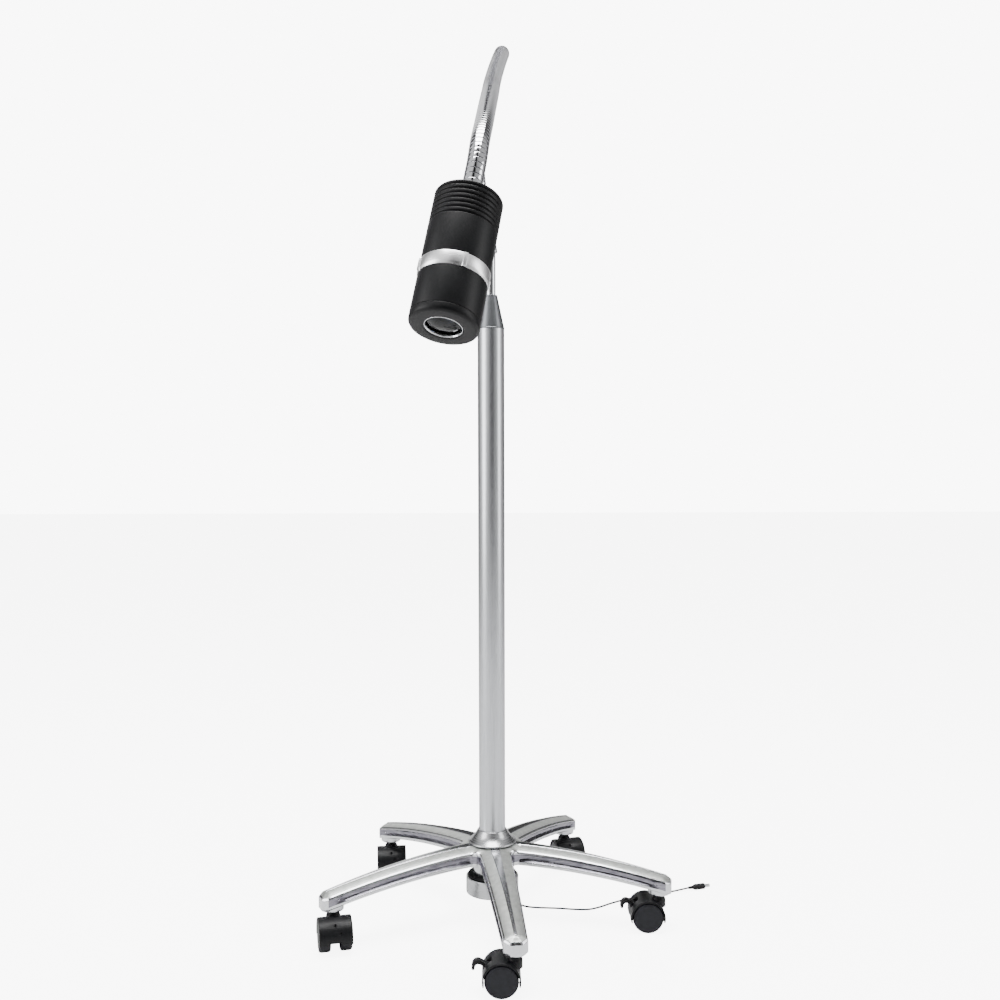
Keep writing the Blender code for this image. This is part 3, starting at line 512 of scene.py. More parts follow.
def coil_point(t):
    """The cord after t turns: inwards on the floor, up one layer, outwards, and down again."""
    start = CORD_TO_COIL[-1] - COIL_AT
    angle = math.atan2(start.y, start.x) - math.tau * t
    half = COIL_TURNS / 2
    share = 1 - abs(t - half) / half
    radius = COIL_OUT + (COIL_IN - COIL_OUT) * share
    radius += (start.xy.length - COIL_OUT) * (1 - ease(t / 0.3))
    radius += ((CORD_TO_PLUG[0] - COIL_AT).xy.length - COIL_OUT) * ease((t - COIL_TURNS + 0.3) / 0.3)
    lift = ease((t - half + 0.15) / 0.3) - ease((t - COIL_TURNS + 0.32) / 0.3)
    return COIL_AT + Vector((radius * math.cos(angle), radius * math.sin(angle), FLOOR_Z + LAYER_UP * lift))


PER_TURN = 16
coil_steps = round(COIL_TURNS * PER_TURN)
coil = [coil_point(COIL_TURNS * i / coil_steps) for i in range(1, coil_steps)]
cord_route = smooth_route([*CORD_TO_COIL, *coil, *CORD_TO_PLUG], 4)
CORD_LONG = length_of(cord_route)
print("lead is", round(CORD_LONG, 3), "m long, of which the coil takes", round(length_of(coil), 3))

# %% [markdown]
# The cord is a curve with a round bevel. The plug is a moulded barrel with finger grooves and a
# plated tip, and the gland is a nut and a ribbed, tapering sleeve, which keeps the cord from bending
# sharply where it leaves the counterweight.

# %% Cord, gland and plug
cord_data = bpy.data.curves.new("lead", "CURVE")
cord_data.dimensions = "3D"
cord_data.bevel_depth = CORD_D / 2
cord_data.bevel_resolution = 3
cord_data.use_fill_caps = True
spline = cord_data.splines.new("POLY")
spline.points.add(len(cord_route) - 1)
for spline_point, at in zip(spline.points, cord_route):
    spline_point.co = (*at, 1)
lead = dress(link("lead", cord_data), PVC, "base", ["cord_to_coil", "cord_coil", "cord_to_plug"])

relief_ribs = [(1.9, -12)]
for rib in range(4):
    z = -11.4 + rib * 2.4
    relief_ribs += [(2.3 + 0.25 * rib, z, 0.3), (2.45 + 0.25 * rib, z + 1.3, 0.3),
                    (2.1 + 0.25 * rib, z + 1.7)]
gland_outline = [*relief_ribs, (3.6, -2.0, 0.3), (6.5, -2.0, 0.4), (6.5, -0.3), (5, -0.3), (5, 12), (1.9, 12)]
gland = turned_piece("gland", gland_outline, PVC, "base", ["cord_gland"],
                     Matrix.Translation(GLAND_AT), sides=48)

plug_way = (CORD_TO_PLUG[-1] - CORD_TO_PLUG[-3]) * Vector((1, 1, 0))
PLUG_PLACE = facing(CORD_TO_PLUG[-1], plug_way, Vector((0, 0, 1)))
plug_outline = [(0, 0.3), (2.2, 0.3, 0.2), (2.8, 8, 1), (4.4, 11, 1), (5, 13, 0.8)]
for groove in range(4):
    z = 15.5 + groove * 2.6
    plug_outline += [(5, z, 0.2), (4.5, z + 0.5, 0.2), (4.5, z + 1, 0.2), (5, z + 1.5, 0.2)]
plug_outline += [(5, 29, 0.6), (4, 30, 0.4), (2.9, 30), (0, 30)]
plug = turned_piece("plug_body", plug_outline, PVC, "base", ["dc_plug"], PLUG_PLACE, False, 48)
tip_outline = [(0, 30.2), (2.75, 30.2), (2.75, 39.5, 0.4), (1.9, 39.5, 0.2), (1.9, 33, 0.2), (0, 33)]
plug_tip = turned_piece("plug_tip", tip_outline, CHROME, "base", [], PLUG_PLACE, False, 48)

# %% [markdown]
# ## The star base
#
# The star is one casting. Each leg arches down from the hub, with a narrow polished band along the
# middle of its top, brushed faces on both sides of it, and a long polished hollow along each flank.
# It could be five lofts joined to a disc, but the joins would show. Instead the mesh is made of ribs
# that run from the leg's middle line out to the star's outline. The outline turns through a round
# valley between two legs, so the ribs fan out there and neighbouring legs meet without a seam.

# %% Star: outline and heights, in millimetres
TIP = 285.0
STEM_CIRCLE = math.hypot(*[(a + b) / 2 / MM for a, b in zip(*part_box("castor_1_stem"))][:2])
BASE_TURN = math.radians(6.6)
HUB_TOP = top("base_star")
ROOT_TOP = HUB_TOP - 0.8
LEG_FALL = ROOT_TOP - 82
ROOT_HALF, TIP_HALF = 26.0, 17.0
ROOT_DEEP, TIP_DEEP = 27.0, 24.0
VALLEY_R = 12.0
TIP_CHAMFER = 8.0
BOSS_LOW = bottom("base_star")


def leg_half(u):
    return TIP_HALF + (ROOT_HALF - TIP_HALF) * (1 - u / TIP)


def ridge(r):
    """Height of the top at a distance from the pole's axis."""
    return ROOT_TOP - LEG_FALL * (r / TIP) ** 1.9 + 0.8 * ease((50 - r) / 12)


def outline_stations():
    """Pairs of a point on the leg's middle line and the point of the outline that its rib reaches."""
    fall = (ROOT_HALF - TIP_HALF) / TIP
    sector = math.pi / LEGS
    far = (VALLEY_R * math.hypot(1, fall) + ROOT_HALF) / (math.sin(sector) + fall * math.cos(sector))
    middle = Vector((far * math.cos(sector), far * math.sin(sector)))
    first = math.pi + sector
    last = 1.5 * math.pi - math.atan(fall)
    tangent = middle.x + VALLEY_R * math.cos(last)
    stations = []
    for i in range(11):
        a = first + (last - first) * i / 10
        stations.append((tangent * (i / 10) ** 0.9, middle + VALLEY_R * Vector((math.cos(a), math.sin(a)))))
    straight = 34
    end = TIP - TIP_CHAMFER
    for i in range(1, straight + 1):
        u = tangent + (end - tangent) * i / straight
        stations.append((u, Vector((u, leg_half(u)))))
    corner = Vector((TIP, leg_half(TIP) - TIP_CHAMFER))
    last_side = stations[-1][1]
    for t in (0.12, 0.5, 0.88):
        stations.append((TIP, last_side.lerp(corner, t)))
    for share in (0.95, 0.5, 0.0):
        stations.append((TIP, Vector((TIP, corner.y * share))))
    return [(min(c, TIP - 11), p) for c, p in stations]


def rib(c, p):
    """One rib of the star in the leg's own frame, from the middle of its top round to the middle below."""
    origin = Vector((c, 0))
    reach = (p - origin).length
    way = (p - origin).normalized()
    edge_top = ridge(p.length)
    band = 1.5 + 6.5 * (1 - c / TIP) ** 1.6
    raised = 1.1 * ease((c - 36) / 12)
    hollow = ease((c - 34) / 34) * ease((TIP - 18 - c) / 16)
    deep = (ROOT_DEEP + (TIP_DEEP - ROOT_DEEP) * c / TIP)
    k = deep / ROOT_DEEP
    face = reach - 4.4 - band - 0.9
    tops = [(0, -raised), (band, -raised), (band + 0.25, -raised + 0.15), (band + 0.9, 0.0)]
    tops += [(band + 0.9 + face * s, 3.4 * s**1.4) for s in (0.35, 0.7, 1.0)]
    tops += [(reach - 2.6, 4.3), (reach - 1.2, 5.3), (reach - 0.35, 6.6), (reach, 8.0)]
    rows = []
    for d, drop in tops:
        at = origin + way * d
        rows.append(Vector((at.x, at.y, ridge(at.length) - drop * (0.35 + 0.65 * ease((c + 10) / 50)))))
    side = [(0.4, 8.8), (2.9, 10.2), (4.2, 13.2), (4.0, 16.6), (2.0, 19.6), (0.5, 20.6), (0, 21.4), (0, 25.2),
            (0.5, 26.4), (2.0, 27.0)]
    floor = ridge(c) - deep
    for inward, drop in side:
        at = p - way * inward * (hollow if drop < 21 else 1)
        rows.append(Vector((at.x, at.y, edge_top - drop * k)))
    channel = 6 * hollow
    for inward, lift in ((4.0, 0), (5.5, channel), (reach, channel)):
        at = p - way * inward
        rows.append(Vector((at.x, at.y, floor + lift)))
    return rows


RIBS = [rib(c, p) for c, p in outline_stations()]
ROWS = len(RIBS[0])
print("star ribs", len(RIBS), "rows", ROWS, "valley at", round(outline_stations()[0][1].length, 1), "mm")

# %% [markdown]
# The ribs are copied to both sides of all five legs and welded. The top faces keep the brushed
# finish, and the band, the shoulder and the flanks are polished, with painted shade in the hollows
# of the flanks. Each face also stores where it lies along its leg, which is what the brushed lines follow.

# %% Star: mesh
# Which strips of faces along the ribs take a finish other than the polish, by their place in a rib.
TOP_FACE = range(3, 7)
HOLLOW = range(11, 16)
UNDERSIDE = range(ROWS - 4, ROWS)
TIP_RIBS = 44
# The star's second material is the brushed faces, and its third is the painted shade of the flank hollows.
BRUSHED, PAINTED_SHADE_INDEX = 1, 2


def star_mesh():
    build = bmesh.new()
    layer = build.loops.layers.uv.new("along_leg")
    known = {}

    def vertex(at):
        key = tuple(round(v * 2000) for v in at)
        if key not in known:
            known[key] = build.verts.new(at * MM)
        return known[key]

    for leg in range(LEGS):
        spin = Matrix.Rotation(BASE_TURN - math.pi / 2 + math.tau * leg / LEGS, 3, "Z")
        for mirror in (1, -1):
            grid = [[Vector((p.x, p.y * mirror, p.z)) for p in rows] for rows in RIBS]
            for i, (a, b) in enumerate(zip(grid, grid[1:])):
                for j in range(ROWS - 1):
                    corners = [a[j], a[j + 1], b[j + 1], b[j]]
                    pairs = {}
                    for at in corners:
                        pairs.setdefault(vertex(spin @ at), at)
                    if len(pairs) < 3 or build.faces.get(list(pairs)):
                        continue
                    made = build.faces.new(list(pairs))
                    if j in TOP_FACE or j in UNDERSIDE:
                        made.material_index = BRUSHED
                    # The flank hollows take the darker material, which is painted shade.
                    elif j in HOLLOW and i < TIP_RIBS:
                        made.material_index = PAINTED_SHADE_INDEX
                    for loop in made.loops:
                        at = pairs[loop.vert]
                        loop[layer].uv = (at.x * MM, at.y * MM)
    bmesh.ops.dissolve_degenerate(build, dist=1e-6, edges=build.edges)
    open_edges = sum(1 for edge in build.edges if not edge.is_manifold)
    print("star faces", len(build.faces), "open edges", open_edges)
    return finished(build, "star")


NECK_LOW = 70.6
NECK_R = 30
star = link("star_base", star_mesh())
star.data.materials.append(POLISHED_CAST)
star.data.materials.append(BRUSHED_CAST)
star.data.materials.append(HOLLOW_PAINTED_SHADE_CAST)
under_hub = ridge(0) - ROOT_DEEP + 6
neck = turned("hub_neck", [(0, NECK_LOW), (NECK_R, NECK_LOW, 1), (NECK_R, under_hub - 8, 3),
                           (NECK_R + 3, under_hub),
                           (0, under_hub)], False)
neck.materials.append(POLISHED_CAST)
combine(star, neck, None, "UNION")
BOSS_R = 17.0
boss_top = ridge(STEM_CIRCLE) - 12
for leg in range(LEGS):
    angle = BASE_TURN - math.pi / 2 + math.tau * leg / LEGS
    at = Matrix.Translation(Vector((math.cos(angle), math.sin(angle), 0)) * (STEM_CIRCLE + 0.6) * MM)
    boss = turned("boss", [(0, BOSS_LOW), (BOSS_R, BOSS_LOW, 1.6), (BOSS_R, boss_top), (0, boss_top)],
                  False, 60)
    boss.materials.append(POLISHED_CAST)
    combine(star, boss, at, "UNION")
star.data.shade_smooth()
star.data.set_sharp_from_angle(angle=math.radians(30))
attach(star, "base")
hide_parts("base_star")
print("star has", len(star.data.polygons), "faces")

# %% [markdown]
# ## Castors
#
# A twin-wheel castor is a nylon hood over two wheels on one axle, with a web between them and a
# collar round the stem. The hood is a thin shell, so it is lofted round the axle from one small
# cross-section, and its edges roll over towards the discs. Slots and the gap between the two skirts
# are cut afterwards. Two of the five have a brake lever, which hooks down outside the hood.

# %% Castor shapes, about the axle, in millimetres
WHEEL_R = 24.0
HOOD_R = 27.0
HALF_WIDE = 25.0
TRAIL = 18.5
LEVER_AT = math.radians(38)
LEVER_PIVOT_R = 23.5
LEVER_HALF = 5.6


def arc(radius, first, last, steps):
    angles = [math.radians(first + (last - first) * i / steps) for i in range(steps + 1)]
    return [(radius * math.cos(a), radius * math.sin(a)) for a in angles]


def hood_shell():
    """The shell: a section across the width, swept round the axle from skirt to skirt."""
    rows = []
    steps = 56
    for i in range(steps + 1):
        degrees = -14 + 208 * i / steps
        a = math.radians(degrees)
        thin = ease((14 - min(degrees + 14, 194 - degrees)) / 8)
        inner = 24.8 + 0.2 * thin
        section = [(HALF_WIDE, inner), (HALF_WIDE, 26.3), (24.75, 26.7), (24.1, 26.93), (22.8, HOOD_R),
                   (20, HOOD_R)]
        section += [(-y, r) for y, r in reversed(section)]
        rows.append([Vector((r * math.cos(a), y, r * math.sin(a))) * MM for y, r in section])
    return skin(rows, "hood")


def box_mesh(low, high):
    (x0, y0, z0), (x1, y1, z1) = low, high
    rows = [[Vector(p) * MM for p in ((x0, y0, z), (x1, y0, z), (x1, y1, z), (x0, y1, z))] for z in (z0, z1)]
    return skin(rows, "box")


def hood_mesh(braked):
    """A whole hood: shell, web and collar, with its slots cut."""
    made = link("hood_work", hood_shell())
    web = arc(26.3, -6, 186, 40) + [(-13, -9), (13, -9)]
    combine(made, extruded("web", web, 7), None, "UNION")
    collar = [(0, 12), (11, 12), (11, 24, 2), (7.5, 28, 2), (7.5, 31.5, 0.6), (0, 31.5)]
    combine(made, turned("collar", collar, False, 40), Matrix.Translation((-TRAIL * MM, 0, 0)), "UNION")
    for way in (1, -1):
        low, high = sorted((way * 20, way * 32))
        combine(made, box_mesh((low, -9, -12), (high, 9, -1.2)), None, "DIFFERENCE")
    if braked:
        x, z = LEVER_PIVOT_R * math.cos(LEVER_AT), LEVER_PIVOT_R * math.sin(LEVER_AT)
        half = LEVER_HALF + 0.5
        combine(made, box_mesh((x - 5, -half, z - 5), (x + 16, half, z + 12)), None, "DIFFERENCE")
    else:
        combine(made, box_mesh((22.5, 3.2, 9), (30, 8.6, 15)), None, "DIFFERENCE")
        combine(made, box_mesh((15, -2.2, 18.2), (30, 1.2, 22.2)), None, "DIFFERENCE")
        combine(made, box_mesh((21.2, 2.4, 16.4), (30, 15, 17.2)), None, "DIFFERENCE")
    edged(made, 0.45, 2, 34)
    mesh = made.data
    bpy.data.objects.remove(made)
    return mesh


def wheel_mesh():
    """One wheel on its axle, its outer face towards +Z: a flat disc inside a slightly raised rim."""
    outline = [(0, 12), (3.6, 12, 0.3), (3.6, 0, 0.3), (8, 0, 0.3), (8, 9, 0.5), (19, 9, 0.5), (19, 0, 0.3),
               (22.5, 0, 0.6), (WHEEL_R, 2, 1), (WHEEL_R, 14.2, 1.6), (22.4, 16.9, 0.7), (21.2, 17.1, 0.3),
               (20.9, 16.6, 0.3), (20.2, 16.9, 0.5), (0, 17.3)]
    return turned("wheel", outline, False, 72)


def lever_mesh():
    outline = [(3.4, -2.6), (-0.6, -3.2), (-3.2, -1.2), (-3.2, 1.6), (-0.8, 3.2), (3.4, 3.8), (8.0, 6.8),
               (12.8, 9.0),
               (17.6, 8.2), (21.2, 4.8), (22.6, 0.0), (22.4, -4.4), (18.8, -4.8), (18.0, -0.6), (15.8, 2.4),
               (12.4, 2.8), (8.0, 0.8)]
    loop = [Vector((x, 0, z)) for x, z in outline]
    curve = smooth_route([loop[-1], *loop, loop[0]], 4)[4:-5]
    made = link("lever_work", extruded("lever", [(p.x, p.z) for p in curve], LEVER_HALF))
    edged(made, 0.7, 3, 40)
    mesh = made.data
    bpy.data.objects.remove(made)
    return mesh


HOODS = {True: hood_mesh(True), False: hood_mesh(False)}
WHEEL = wheel_mesh()
LEVER = lever_mesh()
print("hood faces", len(HOODS[True].polygons), len(HOODS[False].polygons))

# %% [markdown]
# Each castor stands where its stem and its axle are in the model. The direction from the stem to the
# axle is the way the castor trails.

# %% Castors in place


BRAKED = (1, 2)
for number in range(1, LEGS + 1):
    name = f"castor_{number}"
    swivel = Vector(JOINTS[f"{name}_swivel"]["pos_m"])
    axle = Vector(JOINTS[f"{name}_left_roll"]["pos_m"])
    trailing = (axle - swivel) * Vector((1, 1, 0))
    place = Matrix.Translation(axle) @ Matrix.Rotation(math.atan2(trailing.y, trailing.x), 4, "Z")
    hood = link(f"{name}_cover", HOODS[number in BRAKED].copy(), place)
    dress(hood, HOOD_NYLON, f"{name}_fork", [f"{name}_hood"])
    for side, way in (("left", 1), ("right", -1)):
        out = Matrix.Translation((0, way * 7.5 * MM, 0)) @ Matrix.Rotation(-way * math.pi / 2, 4, "X")
        wheel = link(f"{name}_{side}_twin_wheel", WHEEL.copy(), place @ out)
        dress(wheel, DISC_NYLON, f"{name}_{side}", [f"{name}_wheel_{side}"])
    if number in BRAKED:
        pivot = Matrix.Translation(Vector((math.cos(LEVER_AT), 0, math.sin(LEVER_AT))) * LEVER_PIVOT_R * MM)
        lever = link(f"{name}_lever", LEVER.copy(), place @ pivot)
        dress(lever, HOOD_NYLON, f"{name}_brake", [f"{name}_brake_lever"])
print("castors placed")

# %% [markdown]
# ## Counterweight and pole
#
# A plated steel slug hangs under the hub, with a rubber pad between, and pulls the lamp's weight
# down. The pole is a drawn tube in a flared collar. A turned cone closes its top and carries the rod.

# %% Counterweight, pad, pole, collar, cone and rod
weight_low, weight_top = bottom("counterweight"), top("counterweight")
weight = turned_piece(
    "counterweight_slug",
    [(9.3, weight_low), (42, weight_low, 1.6), (42, weight_top, 1.6), (5.3, weight_top),
     (5.3, weight_low + 8),
     (9.3, weight_low + 8)],
    WEIGHT_STEEL, "base", ["counterweight"], sides=128)
gland_bore = turned("gland_bore", [(0, -1), (5.3, -1), (5.3, 12.3), (0, 12.3)], False, 48)
combine(weight, gland_bore, Matrix.Translation(GLAND_AT), "DIFFERENCE")
pad_low, pad_top = bottom("weight_pad"), top("weight_pad")
turned_piece("hub_pad", [(5.3, pad_low), (39, pad_low, 0.6), (39, pad_top, 0.6), (5.3, pad_top)],
             RUBBER, "base", ["weight_pad"])

foot, tube_top = bottom("pole_tube"), top("pole_tube")
turned_piece("pole", [(19.5, foot), (21, foot, 0.4), (21, tube_top, 0.4), (19.5, tube_top)],
             SATIN_TUBE, "base", ["pole_tube"], sides=160)
flange = [(21.3, foot), (38.4, foot, 0.5), (38.4, foot + 1.6, 0.8), (29.4, foot + 8.6, 9),
          (22.8, foot + 19.6, 0.5),
          (21.3, foot + 20)]
turned_piece("pole_collar", flange, WEIGHT_STEEL, "base", ["pole_flange"], sides=128)
cone_low, cone_top = bottom("pole_top_cone"), top("pole_top_cone")
shoulder = tube_top + 0.3
cone = [(7.8, cone_low), (19.2, cone_low, 0.5), (19.2, shoulder), (21.5, shoulder, 0.2),
        (21.5, shoulder + 0.9, 0.3),
        (20.9, shoulder + 1.4, 0.4), (10, cone_top, 0.5), (7.8, cone_top)]
turned_piece("top_cone", cone, GREY_CONE, "base", ["pole_top_cone"], sides=128)
NECK_FOOT = Vector(JOINTS["neck_bend_1"]["pos_m"])
rod_end = NECK_FOOT.z / MM - 4.6
rod = [(3, bottom("neck_rod")), (7.5, bottom("neck_rod"), 0.5), (7.5, rod_end, 0.6), (3, rod_end)]
turned_piece("rod", rod, CHROME, "base", ["neck_rod"], sides=96)
print("pole from", round(foot), "to", round(tube_top), "mm, rod ends at", round(rod_end, 1))

# %% [markdown]
# ## Gooseneck
#
# A gooseneck is a steel strip wound into a spiral whose turns slide on each other. From outside it
# is a row of bright bands about 6 mm wide with a fine groove between them. The model stands in rigid
# sections with hinges; here the tube is one run of bands, cut in a groove at the middle of every
# section. Each length spans one hinge and bends smoothly over it, so no joint shows.

# %% Gooseneck
FERRULE_LONG = 20 * MM
NECK_OUT = 10.0
NECK_BORE = 7.8
BAND_PITCH = 6.0 * MM
NECK_ROUTE = [
    NECK_FOOT,
    NECK_FOOT + Vector((-0.0055, -0.004, 0.0301)),
    NECK_FOOT + Vector((-0.0125, -0.013, 0.0701)),
    NECK_FOOT + Vector((-0.0185, -0.031, 0.1151)),
    NECK_FOOT + Vector((-0.0140, -0.060, 0.1601)),
    NECK_FOOT + Vector((-0.0035, -0.100, 0.1951)),
    NECK_FOOT + Vector((0.0060, -0.150, 0.2171)),
    NECK_FOOT + Vector((0.0125, -0.205, 0.2221)),
    NECK_FOOT + Vector((0.0150, -0.270, 0.2071)),
    NECK_FOOT + Vector((0.0110, -0.335, 0.1771)),
    NECK_FOOT + Vector((0.0055, -0.400, 0.1411)),
    NECK_FOOT + Vector((0.0017, -0.457, 0.1101)),
    NECK_FOOT + Vector((-0.0005, -0.510, 0.0831)),
    NECK_FOOT + Vector((-0.0038, -0.560, 0.0531)),
    NECK_FOOT + Vector((-0.0072, -0.605, 0.0231)),
    NECK_FOOT + Vector((-0.0110, -0.640, -0.0049)),
    HEAD_REAR - HEAD_AXIS * (FERRULE_LONG + 24 * MM),
    HEAD_REAR - HEAD_AXIS * FERRULE_LONG,
]


class Line:
    """A curve that can be read at any distance along it."""

    def __init__(self, points):
        self.points = points
        self.along = [0.0]
        for a, b in zip(points, points[1:]):
            self.along.append(self.along[-1] + (b - a).length)

    def at(self, s):
        k = 0
        while k < len(self.points) - 2 and self.along[k + 1] < s:
            k += 1
        share = (s - self.along[k]) / (self.along[k + 1] - self.along[k])
        return self.points[k] + (self.points[k + 1] - self.points[k]) * share

    def place(self, s, reach=3 * MM):
        """The place on the curve, its Z along it."""
        return facing(self.at(s), self.at(s + reach) - self.at(s - reach))


neck_line = Line(smooth_route([NECK_FOOT - Vector((0, 0, 4.6 * MM)), *NECK_ROUTE]))
NECK_LONG = neck_line.along[-1]
BANDS = round(NECK_LONG / BAND_PITCH)
# Where a band's outline is, as a share of its pitch, and how far it lies below the full radius.
BAND = [(0.0, 0.4), (0.05, 0.3), (0.1, 0.06), (0.22, 0.01), (0.5, 0.0), (0.78, 0.01), (0.9, 0.06),
        (0.95, 0.3)]
NECK_SIDES = 48


def neck_run(first, last):
    """The bands from one groove to another, as a tube."""
    pitch = NECK_LONG / BANDS
    stops = [((band + share) * pitch, NECK_OUT - low) for band in range(first, last) for share, low in BAND]
    stops.append((last * pitch, NECK_OUT - BAND[0][1]))
    stops += [(s, NECK_BORE) for s, _ in reversed(stops[:: len(BAND)])]
    rows = []
    for s, radius in stops:
        place = neck_line.place(s)
        angles = [math.tau * i / NECK_SIDES for i in range(NECK_SIDES)]
        rows.append([place @ (Vector((radius * math.cos(a), radius * math.sin(a), 0)) * MM) for a in angles])
    made = skin(rows, "bands", closed=True)
    made.materials.append(CHROME)
    made.materials.append(GROOVE_PAINTED_SHADE_STEEL)
    # The faces in and beside each groove take the darker steel, which is painted shade.
    outside = (last - first) * len(BAND)
    for face in made.polygons:
        row = face.index // NECK_SIDES
        face.material_index = 1 if row < outside and row % len(BAND) in (0, 1, 6, 7) else 0
    return made


SECTIONS = 5
cuts = [0] + [round(BANDS * (k + 0.5) / SECTIONS) for k in range(SECTIONS)] + [BANDS]
for k, (first, last) in enumerate(zip(cuts, cuts[1:])):
    run = link(f"gooseneck_{k + 1}", neck_run(first, last))
    if k < SECTIONS:
        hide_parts(f"neck_section_{k + 1}")
    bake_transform(run)
print("gooseneck", round(NECK_LONG, 3), "m,", BANDS, "bands, cut at", cuts)

# %% [markdown]
# ## Head
#
# The head is turned from black anodised aluminium: a housing with seven cooling grooves, a bright
# focus ring with four grip ridges, a front barrel and a rounded bezel. Every outline below runs
# along the head's axis, in millimetres from its rear face. The focus ring turns on the housing's
# sleeve and slides the condenser lens inside.

# %% Housing, ferrule and button
HEAD_R = 34.0
HOUSING_LONG = 79.4
SLEEVE_R = 30.4
RING_LOW, RING_HIGH = 79.7, 94.1
SLEEVE_END = RING_HIGH + 8
SEAM = 134.6
HEAD_LONG = 143.0
BUTTON_AT = 20.5

housing = [(6.3, 0), (32, 0, 1.2), (HEAD_R, 1.4, 1.0)]
for groove in range(7):
    z = 5 + groove * 5.2
    housing += [(HEAD_R, z - 1.25, 0.5), (32.5, z - 0.7, 0.5), (32.5, z + 0.7, 0.5), (HEAD_R, z + 1.25, 0.5)]
housing += [(HEAD_R, HOUSING_LONG, 0.35), (SLEEVE_R, HOUSING_LONG), (SLEEVE_R, SLEEVE_END, 0.4),
            (28, SLEEVE_END),
            (28, HOUSING_LONG - 6), (30.5, HOUSING_LONG - 8), (30.5, 5), (6.3, 5)]
head_shell = turned_piece("head_shell", housing, BLACK_ANODISED, "head", ["head_housing"],
                          HEAD_PLACE, sides=144)
button_place = HEAD_PLACE @ Matrix.Translation((0, -BUTTON_AT * MM, 0))
button_hole = turned("button_hole", [(0, -2), (6, -2), (6, 7), (0, 7)], False, 60)
combine(head_shell, button_hole, button_place, "DIFFERENCE")
head_shell.data.shade_smooth()
head_shell.data.set_sharp_from_angle(angle=math.radians(32))
button = [(0, -2.0), (1.5, -2.2), (3.6, -2.2, 0.5), (5.5, -2.2, 0.9), (5.5, 5.3), (7, 5.3, 0.3),
          (7, 6.6, 0.3), (0, 6.6)]
turned_piece("on_off_button", button, RING_METAL, "button", ["power_button"],
             button_place,
             False, 72)
ferrule = [(7.9, -19.5), (10.4, -19.5, 0.7), (10.4, -0.3, 0.3), (6, -0.3), (6, 7.5, 0.4), (3, 7.5), (3, -8)]
turned_piece("ferrule", ferrule, CHROME, "head", ["head_ferrule"], HEAD_PLACE)
print("head from", round(HEAD_LONG), "mm long")

# %% [markdown]
# The focus ring's ridges are part of its turned blank, left standing when the ring between them was
# milled down. So the ring is spun with a radius that depends on the angle: full at a ridge, lower
# between ridges.

# %% Focus ring
RIDGES = 4
RIDGE_TURN = math.radians(70)
RIDGE_HALF_ANGLE = math.radians(2.7)


def ring_lift(angle):
    """How much of the ridge's height there is at an angle: 1 on a ridge, 0 between ridges."""
    step = math.tau / RIDGES
    off = abs((angle - RIDGE_TURN + step / 2) % step - step / 2)
    return 1 - ease((off - RIDGE_HALF_ANGLE) / math.radians(0.9))


def focus_ring_mesh():
    angles = []
    for ridge_number in range(RIDGES):
        base = RIDGE_TURN + math.tau * ridge_number / RIDGES
        fine = [-3.8, -3.6, -3.3, -3.0, -2.7, -2.4, 0, 2.4, 2.7, 3.0, 3.3, 3.6, 3.8]
        angles += [base + math.radians(a) for a in fine]
        angles += [base + math.radians(6 + 78 * i / 26) for i in range(27)]
    # (radius between ridges, radius on a ridge, height)
    outline = [(30.9, 30.9, RING_LOW), (34.1, 35.2, RING_LOW), (34.6, 35.7, RING_LOW + 0.4),
               (34.8, 35.9, RING_LOW + 1.0), (34.8, 35.9, RING_HIGH - 3.2), (34.7, 35.7, RING_HIGH - 2.6),
               (33.9, 34.6, RING_HIGH - 0.3), (33.7, 34.3, RING_HIGH), (30.9, 30.9, RING_HIGH)]
    rows = []
    for low, high, z in outline:
        radii = [low + (high - low) * ring_lift(a) for a in angles]
        rows.append([Vector((r * math.cos(a), r * math.sin(a), z)) * MM for r, a in zip(radii, angles)])
    return skin(rows, "focus_ring", closed=True)


dress(link("focus_grip", focus_ring_mesh(), HEAD_PLACE), RING_METAL, "focus",
      ["focus_ring"])
print("focus ring", RING_HIGH - RING_LOW, "mm wide")

# %% Front barrel, bezel, lens and its ring
barrel = [(30.7, 94.4), (HEAD_R, 94.4, 0.4), (HEAD_R, SEAM - 0.3, 0.4), (27.8, SEAM - 0.3),
          (27.8, SLEEVE_END + 3),
          (30.7, SLEEVE_END + 1)]
turned_piece("barrel", barrel, BLACK_ANODISED, "head", ["front_barrel"], HEAD_PLACE,
             sides=144)
bezel = [(14.8, 134), (25.5, 128), (27.5, 128), (27.5, SEAM), (HEAD_R, SEAM, 0.4), (HEAD_R, HEAD_LONG, 4.2),
         (20.4, HEAD_LONG, 0.6), (18.9, HEAD_LONG - 1.2, 0.3), (18.9, 139.6), (17.5, 139.6), (17.5, 135.5),
         (14.8, 135.5)]
turned_piece("bezel", bezel, BLACK_ANODISED, "head", ["front_bezel"], HEAD_PLACE, sides=144)
lens = [(0, 135.8), (17.2, 135.8, 0.2), (17.2, 138.4, 0.3)]
CROWN = 3.4
for i in range(1, 13):
    r = 17.2 * (1 - i / 12)
    lens.append((r, 138.4 + CROWN * (1 - (r / 17.2) ** 2)))
turned_piece("lens", lens, OPTICAL_GLASS, "head", ["front_lens"], HEAD_PLACE, False, 128)
keeper = [(17.4, 139.9), (18.6, 139.9), (18.6, 142.4, 0.3), (18.0, 142.5, 0.2), (17.4, 141.4, 0.2)]
turned_piece("lens_keeper", keeper, CHROME, "head", ["lens_ring"], HEAD_PLACE, sides=128)
print("front made")

# %% [markdown]
# ## Pieces inside
#
# The boards, the heat sink, the LED and the condenser sit where the model has them, and only their
# finish changes. So do the axles, the stems and the tie bolt, of which little shows.

